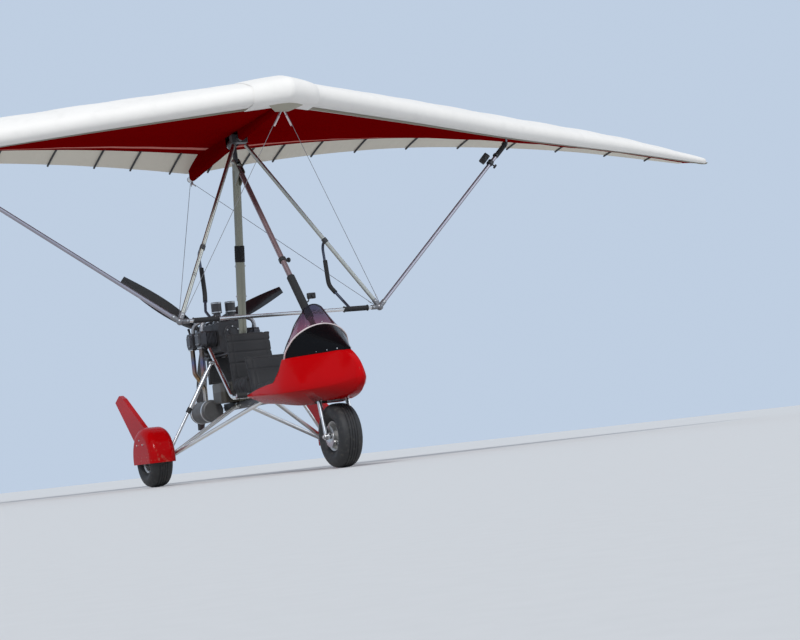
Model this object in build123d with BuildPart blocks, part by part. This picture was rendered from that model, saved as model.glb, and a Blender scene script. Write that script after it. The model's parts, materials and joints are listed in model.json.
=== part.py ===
"""Two-seat weight-shift microlight aircraft: three-wheeled trike and strut-braced flexible wing.

Millimetres. +X points to port, -Y to the nose, +Z up. The origin is on the ground under the
middle of the aircraft. Stations given as "aft" are measured from the rear axle.
"""
from build123d import *
from math import cos, radians, sin, sqrt, tan
import os

os.makedirs("parts", exist_ok=True)

# Clearances
SEAT = 0.3          # between faces of two pieces that rest on each other
RUN = 0.05          # radial running fit of a shaft in its bore

# Stance and wheels
axle_y = 613.5      # rear axle behind the origin
track = 1600.0      # between the rear tyres' middles
wheelbase = 1800.0
front_tyre_r = 233.0
rear_tyre_r = 222.0
tyre_w = 180.0
rim_r = 102.0
rim_w = 120.0
rim_lip = 8.0
rim_holes = 6
rim_hole_r = 13.0
disc_t = 8.0        # half of the wheel disc's thickness
hub_r = 32.0
axle_r = 12.0

# Trike frame
tube_z = 580.0      # middle of the base tube
tube_h = 60.0
tube_w = 50.0
tube_nose = -1915.0
tube_tail = 400.0
mast_foot_aft = -30.0
mast_r = 32.0
bolt_aft = -355.0   # hang bolt
bolt_z = 2485.0
bolt_r = 6.0
stay_foot_aft = -1868.0
stay_foot_z = 650.0
stay_r = 21.0

# Steering
head_aft = -1700.0
head_z = 605.0
rake = 20.0
head_r = 30.0
stem_r = 18.0
fork_gap = 9.0      # beside and above the front tyre
fork_leg_r = 13.0

# Pod
pod_wall = 5.0
deck_z = 830.0      # gunwale
pod_rear = -800.0
hood_front = -2080.0
rim_foot = -1500.0  # feet of the hood's rim, which leans forward
screen_foot = -1480.0
dome_half = 245.0   # of hood and windscreen at the rim's feet
hood_wall = 4.0
screen_wall = 3.0

# Seats
rail_x = 225.0
rail_r = 16.0
cross_r = 15.0
footrest = 110.0    # passenger's footrests, outside the rails
seat_w = 390.0

# Engine and propeller
crank_drop = 95.0   # crankshaft below the propeller shaft
prop_aft = 790.0
prop_z = 1235.0
prop_r = 820.0
blades = 3
case_front = 110.0
case_rear = 560.0
case_w = 230.0
case_h = 250.0

# Wing, in its own frame: origin at the hang bolt, y aft along the keel, z up
pitch = 6.0         # nose up of the keel at rest
keel_up = 150.0     # keel tube above the hang bolt
keel_r = 25.0
nose_fwd = 1143.0
keel_aft = 1049.0
sweep = 23.0
strut_x = 2452.0
apex_fwd = 120.0
bar_half = 823.0
bar_fwd = 475.0
bar_down = 1339.0
bar_r = 14.5
upright_r = 16.0
strut_r = 16.0
wire_r = 2.0


def at(x, aft, z):
    """A point of the trike from its distance to port, aft of the rear axle and height."""
    return Vector(x, axle_y + aft, z)


bolt = at(0, bolt_aft, bolt_z)
lean = radians(pitch)
wing_plane = Plane(origin=bolt, x_dir=(1, 0, 0), z_dir=(0, sin(lean), cos(lean)))
wing_aft = wing_plane.y_dir
wing_up = wing_plane.z_dir


def on_wing(x, y, z):
    """A point of the wing, from the wing's own frame."""
    return wing_plane.from_local_coords(Vector(x, y, z))


def rod(start, end, radius, mode=Mode.ADD):
    """A round bar from one point to another, in the part being built."""
    run = end - start
    with BuildSketch(Plane(origin=start, z_dir=run)) as disc:
        Circle(radius)
    extrude(disc.sketch, amount=run.length, mode=mode)


def bent_tube(points, bend, radius):
    """A round tube along straight runs joined by bends, in the part being built."""
    with BuildLine() as path:
        FilletPolyline(*points, radius=bend)
    with BuildSketch(Plane(origin=path.line @ 0, z_dir=path.line % 0)) as disc:
        Circle(radius)
    sweep_solid = Solid.sweep(disc.sketch.faces()[0], path.line)
    add(sweep_solid)


def block(low, high, mode=Mode.ADD):
    """A block between two corners, in the part being built."""
    size = high - low
    with BuildSketch(Plane(origin=low)) as base:
        with Locations((size.X / 2, size.Y / 2)):
            Rectangle(size.X, size.Y)
    extrude(base.sketch, amount=size.Z, mode=mode)


def finish(piece, name):
    """Name a piece and write it."""
    piece.part.label = name
    export_step(piece.part, f"parts/{name}.step")


# Pod: stations with floor half width and height, chine half width and height, gunwale half
# width and height
pod_stations = (
    (-2290.0, 14.0, 588.0, 26.0, 624.0, 14.0, 672.0),
    (-2210.0, 28.0, 540.0, 62.0, 608.0, 22.0, 752.0),
    (hood_front, 56.0, 508.0, 118.0, 592.0, 32.0, deck_z - 4),
    (-1900.0, 92.0, 491.0, 196.0, 582.0, 110.0, deck_z),
    (-1700.0, 126.0, 482.0, 276.0, 580.0, 188.0, deck_z),
    (rim_foot, 158.0, 481.0, 320.0, 580.0, 252.0, deck_z),
    (-1100.0, 166.0, 520.0, 312.0, 594.0, 268.0, deck_z),
    (pod_rear, 150.0, 541.0, 286.0, 606.0, 252.0, deck_z),
)


side_bulge = 0.35   # fullness of the pod's sides between crease and gunwale
camber = 0.12       # rise of the deck, as a share of the gunwale's half width


def pod_section(station, inset):
    """The closed outline of the pod at a station, drawn in by an inset."""
    aft, floor_w, floor_z, crease_w, crease_z, edge_w, edge_z = station
    floor_w, crease_w, edge_w = floor_w - inset, crease_w - inset, edge_w - inset
    floor_z, edge_z = floor_z + inset, edge_z - inset
    belly = edge_w * side_bulge + crease_w * (1 - side_bulge)
    half_up = (crease_z + edge_z) / 2
    with BuildSketch(Plane(origin=at(0, aft, 0), x_dir=(1, 0, 0), z_dir=(0, -1, 0))) as outline:
        with BuildLine():
            Line((-floor_w, floor_z), (floor_w, floor_z))
            Line((floor_w, floor_z), (crease_w, crease_z))
            ThreePointArc((crease_w, crease_z), (belly, half_up), (edge_w, edge_z))
            ThreePointArc((edge_w, edge_z), (0, edge_z + edge_w * camber), (-edge_w, edge_z))
            ThreePointArc((-edge_w, edge_z), (-belly, half_up), (-crease_w, crease_z))
            Line((-crease_w, crease_z), (-floor_w, floor_z))
        make_face()
    return outline.sketch.faces()[0]


# Base tube, with the steering head, the feet that carry the pod and the ears of the front stay
tube_top = tube_z + tube_h / 2
tube_low = tube_z - tube_h / 2
stay_foot = at(0, stay_foot_aft, stay_foot_z)
steer_dir = Vector(0, sin(radians(rake)), cos(radians(rake)))
head_mid = at(0, head_aft, head_z)
head_half = 70.0
pod_floor = 482.0
saddles = (-1480.0, -1060.0)
saddle_w = 100.0
saddle_l = 60.0
tube_round = 8.0
ear_gap = 34.0
ear_t = 8.0
ear_l = 80.0        # ears' length and height over the stay's foot
ear_rise = 25.0
eye_pad = 22.0
eye_r = 8.0         # towing eye at the tail
eye_t = 10.0
eye_reach = 22.0

with BuildPart() as base_tube:
    loft([pod_section(s, pod_wall + SEAT) for s in pod_stations], ruled=True)
    with BuildSketch(Plane.XY.offset(pod_floor - 20)) as feet:
        with Locations(*[(0, axle_y + station) for station in saddles]):
            Rectangle(saddle_w, saddle_l)
    extrude(feet.sketch, amount=tube_z - pod_floor + 20, mode=Mode.INTERSECT)
    with BuildSketch(Plane(origin=at(0, tube_tail, tube_z), x_dir=(1, 0, 0), z_dir=(0, -1, 0))) as tube_end:
        RectangleRounded(tube_w, tube_h, tube_round)
    extrude(tube_end.sketch, amount=tube_tail - tube_nose)
    rod(head_mid - steer_dir * head_half, head_mid + steer_dir * head_half, head_r)
    bore_half = head_half + 10
    rod(head_mid - steer_dir * bore_half, head_mid + steer_dir * bore_half, stem_r + RUN, Mode.SUBTRACT)
    for side in (-1, 1):
        inner = side * ear_gap / 2
        outer = side * (ear_gap / 2 + ear_t)
        block(at(min(inner, outer), tube_nose + 5, tube_top - 5),
              at(max(inner, outer), tube_nose + 5 + ear_l, stay_foot_z + ear_rise))
    with BuildSketch(Plane.XY.offset(tube_z)) as eye:
        with Locations((0, axle_y + tube_tail + eye_reach)):
            Circle(eye_pad)
            with Locations((0, -eye_reach)):
                Rectangle(2 * eye_pad, 2 * eye_reach)
            Circle(eye_r, mode=Mode.SUBTRACT)
    extrude(eye.sketch, amount=eye_t / 2, both=True)
finish(base_tube, "base_tube")

# Mast on its foot, with the hang bolt through two cheeks
mast_dir = (bolt - at(0, mast_foot_aft, tube_top)).normalized()
stay_dir = (stay_foot - bolt).normalized()
mast_top = bolt - mast_dir * 70
stay_top = bolt + stay_dir * 118

sleeve = (800.0, 1150.0)   # ends of the sleeve at the mast's joint, from its foot
sleeve_t = 5.0
foot_half = 48.0
foot_h = 48.0
cheek_r = 24.0
mast_foot = at(0, mast_foot_aft, tube_top)
cheek_tip = bolt + stay_dir * 150
with BuildPart() as mast:
    block(mast_foot - Vector(mast_r, foot_half, 0), mast_foot + Vector(mast_r, foot_half, foot_h))
    rod(mast_foot + mast_dir * 10, mast_top, mast_r)
    for side in (-1, 1):
        with BuildSketch(Plane.YZ.offset(side * (ear_gap + ear_t) / 2)) as cheek:
            with Locations((bolt.Y, bolt.Z)):
                Circle(cheek_r)
            with BuildLine():
                Polyline((bolt.Y - 18, bolt.Z + 16), (bolt.Y + 22, bolt.Z + 8), (bolt.Y + 48, bolt.Z - 190),
                         (bolt.Y - 4, bolt.Z - 190), (cheek_tip.Y + 18, cheek_tip.Z - 14),
                         (cheek_tip.Y - 18, cheek_tip.Z + 14), close=True)
            make_face()
        extrude(cheek.sketch, amount=ear_t / 2, both=True)
    end = Vector(ear_gap / 2 + ear_t + 10, 0, 0)
    rod(bolt - end, bolt + end, bolt_r)
    rod(mast_top - mast_dir * 1, bolt - mast_dir * 40, ear_gap / 2)
    rod(mast_foot + mast_dir * sleeve[0], mast_foot + mast_dir * sleeve[1], mast_r + sleeve_t)
finish(mast, "mast")

# Front stay between the cheeks and the base tube's ears
with BuildPart() as front_stay:
    rod(stay_top + stay_dir * 34, stay_foot - stay_dir * 70, stay_r)
    rod(stay_top - stay_dir * 55, stay_top + stay_dir * 35, ear_gap / 2 - SEAT)
    rod(stay_foot - stay_dir * 71, stay_foot + stay_dir * 8, ear_gap / 2 - SEAT)
finish(front_stay, "front_stay")

# Hood and windscreen: aft of the feet, lean forward in degrees, half width, rise, and the
# widths of the arch at two heights as shares of the half width
hood_rows = (
    (hood_front, 0.0, 26.0, 22.0, 0.94, 0.61),
    (-1900.0, 0.0, 104.0, 118.0, 0.94, 0.61),
    (rim_foot, 41.8, dome_half, 300.0, 0.94, 0.61),
)
screen_rows = (
    (rim_foot, 41.8, dome_half, 300.0, 0.94, 0.61),
    (screen_foot, 12.5, dome_half, 393.0, 0.74, 0.40),
)
arch_drop = 20.0    # arch's sides below the gunwale, cut off along the pod


def arch_plane(row):
    lean_fwd = radians(row[1])
    return Plane(origin=at(0, row[0], deck_z), x_dir=(1, 0, 0), z_dir=(0, -cos(lean_fwd), -sin(lean_fwd)))


def arch_section(row, inset, shift=0.0):
    """An arch of the hood or the windscreen, drawn in by an inset and shifted forward."""
    foot, lean_fwd, half, rise, side, shoulder = row
    half, rise = half - inset, rise - inset
    low, high = 0.44 * rise, 0.82 * rise
    with BuildSketch(arch_plane(row).offset(shift)) as outline:
        with BuildLine():
            Polyline((half, 0), (half, -arch_drop), (-half, -arch_drop), (-half, 0))
            ThreePointArc((-half, 0), (-side * half, low), (-shoulder * half, high))
            ThreePointArc((-shoulder * half, high), (0, rise), (shoulder * half, high))
            ThreePointArc((shoulder * half, high), (side * half, low), (half, 0))
        make_face()
    return outline.sketch.faces()[0]


# Pod's shell: open at the rear, with a lip under the hood and low sides by the seats
lip = 20.0
side_cut = ((screen_foot + 12, 1100.0), (screen_foot + 12, 760.0), (-1400.0, 672.0), (-1100.0, 655.0),
            (pod_rear - 10, 622.0), (pod_rear + 60, 622.0), (pod_rear + 60, 1100.0))
well_r = 136.0      # round the fork's legs
well_rise = 56.0    # above the floor, along the steering axis
well_drop = 60.0
with BuildPart() as pod:
    loft([pod_section(s, 0) for s in pod_stations], ruled=True)
    inner_stations = [list(s) for s in pod_stations]
    inner_stations[0][0] += pod_wall
    inner_stations[-1][0] += 1
    loft([pod_section(s, pod_wall) for s in inner_stations], ruled=True, mode=Mode.SUBTRACT)
    with BuildSketch(Plane.YZ) as above:
        with BuildLine():
            Polyline(*[(axle_y + a, z) for a, z in side_cut], close=True)
        make_face()
        fillet(above.vertices().filter_by(lambda v: v.Y < 800), 24)
    extrude(above.sketch, amount=500, both=True, mode=Mode.SUBTRACT)
    with BuildSketch(Plane.XY.offset(deck_z - 40)) as opening:
        with BuildLine():
            port_edge = [(row[2] - lip, axle_y + row[0]) for row in hood_rows[1:]]
            starboard_edge = [(-x, y) for x, y in reversed(port_edge)]
            Polyline(*port_edge, (dome_half - lip, axle_y + screen_foot + 20),
                     (lip - dome_half, axle_y + screen_foot + 20), *starboard_edge, close=True)
        make_face()
    extrude(opening.sketch, amount=120, mode=Mode.SUBTRACT)
    well = head_mid - steer_dir * ((head_z - pod_floor) / steer_dir.Z)
    rod(well - steer_dir * well_drop, well + steer_dir * well_rise, well_r, Mode.SUBTRACT)
finish(pod, "pod")

with BuildPart() as hood:
    loft([arch_section(row, 0) for row in hood_rows])
    inner_rows = [list(row) for row in hood_rows]
    inner_rows[0][0] += hood_wall
    loft([arch_section(inner_rows[0], hood_wall), arch_section(inner_rows[1], hood_wall),
          arch_section(inner_rows[2], hood_wall, -1.0)], mode=Mode.SUBTRACT)
    loft([pod_section(s, -SEAT) for s in pod_stations], ruled=True, mode=Mode.SUBTRACT)
finish(hood, "hood")

with BuildPart() as windscreen:
    loft([arch_section(screen_rows[0], 0, -SEAT), arch_section(screen_rows[1], 0)])
    loft([arch_section(screen_rows[0], screen_wall, 1.0), arch_section(screen_rows[1], screen_wall, -1.0)],
         mode=Mode.SUBTRACT)
    loft([pod_section(s, -SEAT) for s in pod_stations], ruled=True, mode=Mode.SUBTRACT)
finish(windscreen, "windscreen")

# Instrument panel across the hood, parallel to its rim, with two round instruments and a screen
panel_in = 45.0
panel_t = 6.0
panel_low = (panel_in + panel_t) * tan(radians(hood_rows[-1][1])) + 22
panel_plane = arch_plane(hood_rows[-1]).offset(panel_in)
gauge_r = 40.0
with BuildPart() as instrument_panel:
    loft([arch_section(row, hood_wall + SEAT) for row in hood_rows])
    with BuildSketch(panel_plane) as slab:
        with Locations((0, panel_low + 200)):
            Rectangle(3 * dome_half, 400)
    extrude(slab.sketch, amount=panel_t, mode=Mode.INTERSECT)
    with BuildSketch(panel_plane.offset(-12)) as faces:
        with Locations((-115, panel_low + 55), (115, panel_low + 55)):
            Circle(gauge_r)
        with Locations((0, panel_low + 110)):
            RectangleRounded(130, 80, 8)
    extrude(faces.sketch, amount=13)
    rod(stay_foot, stay_top, stay_r + 7, Mode.SUBTRACT)
finish(instrument_panel, "instrument_panel")

# Seat frame: two side rails with cross tubes on the base tube and across the mast
rail_z = tube_top + SEAT + cross_r
rail_rise = (68.0, 1048.0)      # aft and height of the rails' upper ends
rail_turn = -330.0              # aft of the bend
rail_nose = -960.0
rail_bend_r = 110.0
cross_tubes = ((-930.0, rail_x), (-700.0, rail_x + footrest), (-430.0, rail_x))     # aft, half length


def rail_top(side):
    return at(side * rail_x, *rail_rise)


def rail_bend(side):
    return at(side * rail_x, rail_turn, rail_z)


with BuildPart() as seat_frame:
    for side in (-1, 1):
        rail_end = at(side * rail_x, rail_nose, rail_z)
        bent_tube([rail_top(side), rail_bend(side), rail_end], rail_bend_r, rail_r)
    for station, half in cross_tubes:
        rod(at(-half, station, rail_z), at(half, station, rail_z), cross_r)
finish(seat_frame, "seat_frame")

# Seats: side views of pan and backrest
seat_z = rail_z + cross_r + SEAT
seat_round = 14.0
front_profile = (
    (-1040.0, seat_z), (-1040.0, 690.0), (-980.0, 700.0), (-690.0, 694.0),
    (-600.0, 940.0), (-545.0, 930.0), (-620.0, seat_z),
)
rear_profile = (
    (-600.0, seat_z), (-575.0, 760.0), (-500.0, 775.0), (-280.0, 770.0),
    (-226.0, 1150.0), (-184.0, 1150.0), (-240.0, seat_z),
)


def seat(profile):
    """A seat's solid, its side view pushed out to its width in the part being built."""
    with BuildSketch(Plane.YZ) as side_view:
        with BuildLine():
            Polyline(*[(axle_y + a, z) for a, z in profile], close=True)
        make_face()
        fillet(side_view.vertices(), seat_round)
    extrude(side_view.sketch, amount=seat_w / 2, both=True)


with BuildPart() as front_seat:
    seat(front_profile)
finish(front_seat, "front_seat")
with BuildPart() as rear_seat:
    seat(rear_profile)
finish(rear_seat, "rear_seat")

# Fuel tank behind the mast
tank_half = 170.0
tank_front = 30.0
tank_l = 240.0
tank_top = 770.0
tank_round = 40.0
with BuildPart() as fuel_tank:
    block(at(-tank_half, tank_front, tube_top + SEAT), at(tank_half, tank_front + tank_l, tank_top))
    fillet(fuel_tank.edges().filter_by(Axis.Z), tank_round)
    fillet(fuel_tank.faces().sort_by(Axis.Z)[-1].edges(), tank_round / 3)
finish(fuel_tank, "fuel_tank")

# Engine bearers from the mast, with struts to the base tube's tail
crank_z = prop_z - crank_drop
case_low = crank_z - case_h / 2
bearer_r = 14.0
bearer_x = 75.0
brace_r = 11.0
case_round = 30.0
bearer_z = case_low - bearer_r - SEAT
mast_slope = (bolt_aft - mast_foot_aft) / (bolt_z - tube_top)
mast_aft = mast_foot_aft + mast_slope * (bearer_z - tube_top)
with BuildPart() as engine_bearers:
    block(at(-bearer_x - 20, mast_aft - 46, bearer_z - 24), at(bearer_x + 20, mast_aft + 60, bearer_z + 24))
    rod(at(0, mast_foot_aft, tube_top) + mast_dir * 100, mast_top, mast_r + SEAT, Mode.SUBTRACT)
    for side in (-1, 1):
        x = side * bearer_x
        rod(at(x, mast_aft + 50, bearer_z), at(x, case_rear + 20, bearer_z), bearer_r)
        rod(at(x, case_rear - 20, bearer_z), at(side * 12, tube_tail - 30, tube_top + 12), brace_r)
    rod(at(-bearer_x, case_rear - 20, bearer_z), at(bearer_x, case_rear - 20, bearer_z), brace_r)
finish(engine_bearers, "engine_bearers")

with BuildPart() as engine_case:
    block(at(-case_w / 2, case_front, case_low), at(case_w / 2, case_rear, case_low + case_h))
    fillet(engine_case.edges().filter_by(Axis.Y), case_round)
finish(engine_case, "engine_case")

# Radiator hung under the bearers
radiator_w = 290.0
radiator_h = 210.0
radiator_t = 46.0
radiator_aft = 330.0
radiator_rim = 24.0
louvres = 14
louvre_pitch = 12.5
with BuildPart() as radiator:
    top = bearer_z - bearer_r - SEAT
    block(at(-radiator_w / 2, radiator_aft, top - radiator_h),
          at(radiator_w / 2, radiator_aft + radiator_t, top))
    wide = radiator_w / 2 - radiator_rim
    for n in range(louvres):
        z = top - 22 - louvre_pitch * n
        for face in (radiator_aft - 1, radiator_aft + radiator_t - 6):
            block(at(-wide, face, z - louvre_pitch / 2), at(wide, face + 7, z), Mode.SUBTRACT)
finish(radiator, "radiator")

# Four finned cylinders with their heads
barrel_r = 52.0
barrel = 95.0
fins = 7
fin_r = 66.0
fin_t = 4.0
fin_pitch = 11.5
head_w = 64.0       # half of the head's width
head_t = 46.0
cover_t = 16.0
cylinder_aft = (215.0, 420.0)
with BuildPart() as cylinders:
    for side in (-1, 1):
        for station in cylinder_aft:
            root = at(side * (case_w / 2 + SEAT), station, crank_z)
            face = Plane(origin=root, x_dir=(0, 1, 0), z_dir=(side, 0, 0))
            with BuildSketch(face) as bore_wall:
                Circle(barrel_r)
            extrude(bore_wall.sketch, amount=barrel)
            for n in range(fins):
                with BuildSketch(face.offset(fin_pitch * (n + 1))) as fin:
                    RectangleRounded(2 * fin_r, 2 * fin_r, fin_r / 2)
                extrude(fin.sketch, amount=fin_t)
            with BuildSketch(face.offset(barrel - 1)) as head:
                RectangleRounded(2 * head_w, 2 * head_w, head_w / 3)
            extrude(head.sketch, amount=head_t)
            with BuildSketch(face.offset(barrel + head_t - 2)) as cover:
                RectangleRounded(1.3 * head_w, 1.6 * head_w, head_w * 0.36)
            extrude(cover.sketch, amount=cover_t, taper=14)
finish(cylinders, "cylinders")

# Gearbox and the propeller shaft's bearing
box_rear = prop_aft - 66
shaft_r = 16.0
wheel_case_r = 88.0
pinion_case_r = 70.0
with BuildPart() as gearbox:
    rod(at(0, case_rear + SEAT, crank_z), at(0, box_rear - 20, crank_z), wheel_case_r)
    rod(at(0, case_rear + SEAT, prop_z), at(0, box_rear, prop_z), pinion_case_r)
    rod(at(0, box_rear - 60, prop_z), at(0, box_rear + 1, prop_z), shaft_r + RUN, Mode.SUBTRACT)
finish(gearbox, "gearbox")

# Two carburettors on the crankcase, each a stub, a float bowl and a filter: from, to, radius
intake_x = 60.0
intake_aft = 250.0
intake_rows = ((SEAT, 35.0, 22.0), (30.0, 90.0, 30.0), (80.0, 170.0, 42.0))
with BuildPart() as intake:
    for side in (-1, 1):
        root = at(side * intake_x, intake_aft, crank_z + case_h / 2)
        for low, high, radius in intake_rows:
            rod(root + Vector(0, 0, low), root + Vector(0, 0, high), radius)
finish(intake, "intake")

# Silencer drum low on the starboard side, and the pipes to it
drum_r = 90.0
drum_front = 290.0
drum_rear = 620.0
drum_x = -160.0
drum_z = 560.0
drum_round = 18.0
outlet_r = 24.0
outlet_l = 70.0
with BuildPart() as silencer:
    rod(at(drum_x, drum_front, drum_z), at(drum_x, drum_rear, drum_z), drum_r)
    fillet(silencer.edges().filter_by(GeomType.CIRCLE), drum_round)
    outlet = at(drum_x, drum_rear, drum_z - drum_r / 2)
    rod(outlet - Vector(0, 5, 0), outlet + Vector(0, outlet_l, 0), outlet_r)
    rod(outlet, outlet + Vector(0, outlet_l + 1, 0), outlet_r - 2, Mode.SUBTRACT)
finish(silencer, "silencer")

pipe_r = 19.0
pipe_bend = 40.0
pipe_x = -240.0
port_z = crank_z - head_w - SEAT
drum_pipe = 440.0   # aft of the pipe into the drum
with BuildPart() as exhaust_pipes:
    front_port = at(pipe_x, cylinder_aft[0], port_z)
    rear_port = at(pipe_x, cylinder_aft[1], port_z)
    drum_top = at(drum_x, drum_pipe, drum_z + drum_r + SEAT)
    rear_path = [rear_port, rear_port - Vector(0, 0, 196), drum_top + Vector(0, 0, 110), drum_top]
    front_path = [front_port, front_port - Vector(0, 0, 226), at(-205, 340, 800), at(-188, 420, 790)]
    for path in (rear_path, front_path):
        bent_tube(path, pipe_bend, pipe_r)
finish(exhaust_pipes, "exhaust_pipes")

# Rear undercarriage: lower tubes, hub block and stub axle each side
hub_in = track / 2 - 160
spat_in = track / 2 - tyre_w / 2 - 17
hub_out = spat_in - SEAT
leg_r = 16.0
hub_half = 38.0     # half length and half height of the hub block
hub_rise = 36.0
leg_rows = ((-495.0, -14.0), (70.0, 14.0))      # aft at the base tube and at the hub block
leg_root = 22.0
with BuildPart() as gear_legs:
    for side in (-1, 1):
        inner, outer = sorted((side * hub_in, side * hub_out))
        block(at(inner, -hub_half, rear_tyre_r - hub_rise), at(outer, hub_half, rear_tyre_r + hub_rise))
        for station, near in leg_rows:
            root = at(side * (tube_w / 2 + leg_root), station, tube_z - 8)
            rod(root, at(side * (hub_in + 20), near, rear_tyre_r + 10), leg_r)
            lug = at(side * (tube_w / 2 + SEAT), station, tube_z - 8)
            rod(lug, root + Vector(side * 6, 0, 0), leg_r + 2)
        axle_end = at(side * (track / 2 + rim_w / 2 + 14), 0, rear_tyre_r)
        rod(at(side * hub_in, 0, rear_tyre_r), axle_end, axle_r)
finish(gear_legs, "gear_legs")

# Suspension struts from the seat rails to the hub blocks
damper_r = 19.0
piston_r = 12.0
boss_r = 15.0
boss_out = 37.0     # damper's upper end outside the rail
hold_share = 0.28   # of the rail's slope, down from its top
with BuildPart() as suspension_struts:
    for side in (-1, 1):
        hold = rail_top(side) + (rail_bend(side) - rail_top(side)) * hold_share
        top = hold + Vector(side * boss_out, 0, 0)
        foot = at(side * (hub_in + 22), 0, rear_tyre_r + hub_rise + boss_r + 1 + SEAT)
        rod(top, foot, piston_r)
        rod(top + (foot - top) * 0.10, top + (foot - top) * 0.52, damper_r)
        rod(hold + Vector(side * (rail_r + SEAT), 0, 0), top + Vector(side * (boss_r - 1), 0, 0), boss_r)
        rod(foot - Vector(0, 0, boss_r + 0.5), foot + Vector(0, 0, boss_r - 1), boss_r + 1)
finish(suspension_struts, "suspension_struts")

# Wheel spats with upswept tail fins
spat_half = track / 2 - spat_in
spat_r = rear_tyre_r + 26
spat_wall = 5.0
spat_round = 62.0
tail_t = 36.0
fin_rows = (        # aft and over the axle
    (40.0, 203.0), (585.0, 513.0), (675.0, 543.0), (790.0, 493.0), (225.0, 3.0),
)
spat_low = 35.0     # spat's lower edge, below the axle
spat_wide = Vector(spat_half, 0, 0)
hollow_wide = Vector(spat_half - spat_wall, 0, 0)
with BuildPart() as spat_skin:
    rod(-spat_wide, spat_wide, spat_r)
    fillet(spat_skin.edges().filter_by(GeomType.CIRCLE), spat_round)
with BuildPart() as spat_hollow:
    rod(-hollow_wide, hollow_wide, spat_r - spat_wall)
    fillet(spat_hollow.edges().filter_by(GeomType.CIRCLE), spat_round - spat_wall)
with BuildPart() as spats:
    for side in (-1, 1):
        mid = at(side * track / 2, 0, rear_tyre_r)
        add(Pos(*mid) * spat_skin.part)
        with BuildSketch(Plane.YZ.offset(mid.X)) as fin:
            with BuildLine():
                Polyline(*[(axle_y + aft, rear_tyre_r + rise) for aft, rise in fin_rows], close=True)
            make_face()
        extrude(fin.sketch, amount=tail_t / 2, both=True)
        add(Pos(*mid) * spat_hollow.part, mode=Mode.SUBTRACT)
        below = Vector(2 * spat_half, 2 * spat_r, 0)
        block(mid - below - Vector(0, 0, 2 * spat_r), mid + below - Vector(0, 0, spat_low), Mode.SUBTRACT)
        rod(mid - Vector(side * 2 * spat_half, 0, 0), mid, axle_r + 3, Mode.SUBTRACT)
finish(spats, "spats")

# Fork: crown over the tyre, two legs, stem in the head, and the front axle
front_axle = at(0, -wheelbase, front_tyre_r)
leg_x = tyre_w / 2 + fork_gap + fork_leg_r
crown_t = 20.0
crown_gap = 14.0    # under the steering head, for the base tube as the fork turns
crown_mid = head_mid - steer_dir * (head_half + crown_gap + crown_t / 2)
crown_plane = Plane(origin=crown_mid, x_dir=(1, 0, 0), z_dir=steer_dir)
with BuildPart() as fork:
    with BuildSketch(crown_plane) as crown:
        RectangleRounded(2 * (leg_x + 14), 64, 20)
    extrude(crown.sketch, amount=crown_t / 2, both=True)
    rod(crown_mid, head_mid + steer_dir * (head_half + 30), stem_r)
    for side in (-1, 1):
        leg_top = crown_mid + Vector(side * leg_x, 0, 0)
        leg_foot = front_axle + Vector(side * leg_x, 0, 0)
        rod(leg_top, leg_foot, fork_leg_r)
        rod(leg_top, leg_top + (leg_foot - leg_top) * 0.5, fork_leg_r + 4)
        rod(leg_foot - Vector(12, 0, 0), leg_foot + Vector(12, 0, 0), 24)
    rod(front_axle - Vector(leg_x + 16, 0, 0), front_axle + Vector(leg_x + 16, 0, 0), axle_r)
finish(fork, "fork")

# Foot bar on the stem
bar_mid = head_mid + steer_dir * (head_half + 18)
foot_half_w = Vector(205, 0, 0)
clamp_r = 27.0
foot_bar_r = 10.0
with BuildPart() as foot_bar:
    rod(bar_mid - steer_dir * 12, bar_mid + steer_dir * 11, clamp_r)
    rod(bar_mid - foot_half_w, bar_mid + foot_half_w, foot_bar_r)
    rod(bar_mid - steer_dir * 14, bar_mid + steer_dir * 14, stem_r + 2 * RUN, Mode.SUBTRACT)
finish(foot_bar, "foot_bar")


# Tyre's section: half width as a share of the tyre's, radius as a share from rim to tread
tyre_rows = (
    (0.62, 0.10), (0.86, 0.24), (0.98, 0.42), (1.0, 0.56),
    (0.93, 0.74), (0.76, 0.89), (0.48, 0.975), (0.17, 1.0),
)


def tyre(middle, radius):
    """A smooth balloon tyre about a wheel axis, in the part being built."""
    side_wall = [(x * tyre_w / 2, rim_r + r * (radius - rim_r)) for x, r in tyre_rows]
    bead = rim_w / 2 - rim_lip - SEAT
    with BuildSketch(Plane(origin=middle, x_dir=(1, 0, 0), z_dir=(0, -1, 0))) as section:
        with BuildLine():
            Polyline((-bead, rim_r + SEAT), (bead, rim_r + SEAT), *side_wall,
                     *[(-x, r) for x, r in reversed(side_wall)], close=True)
        make_face()
    revolve(section.sketch, axis=Axis(middle, (1, 0, 0)))


def rim(middle):
    """A wheel rim with its disc and hub, in the part being built."""
    edge = rim_w / 2
    half = ((edge, axle_r + RUN), (edge, hub_r), (disc_t, hub_r), (disc_t, rim_r - 14), (edge - rim_lip, rim_r - 10),
            (edge, rim_r + 4), (edge - 3, rim_r + 6), (edge - rim_lip, rim_r))
    with BuildSketch(Plane(origin=middle, x_dir=(1, 0, 0), z_dir=(0, -1, 0))) as section:
        with BuildLine():
            Polyline(*half, *[(-x, r) for x, r in reversed(half)], close=True)
        make_face()
    revolve(section.sketch, axis=Axis(middle, (1, 0, 0)))
    with BuildSketch(Plane(origin=middle - Vector(edge, 0, 0), x_dir=(0, 1, 0), z_dir=(1, 0, 0))) as holes:
        with PolarLocations((hub_r + rim_r) / 2 - 4, rim_holes):
            Circle(rim_hole_r)
    extrude(holes.sketch, amount=rim_w, mode=Mode.SUBTRACT)


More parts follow.
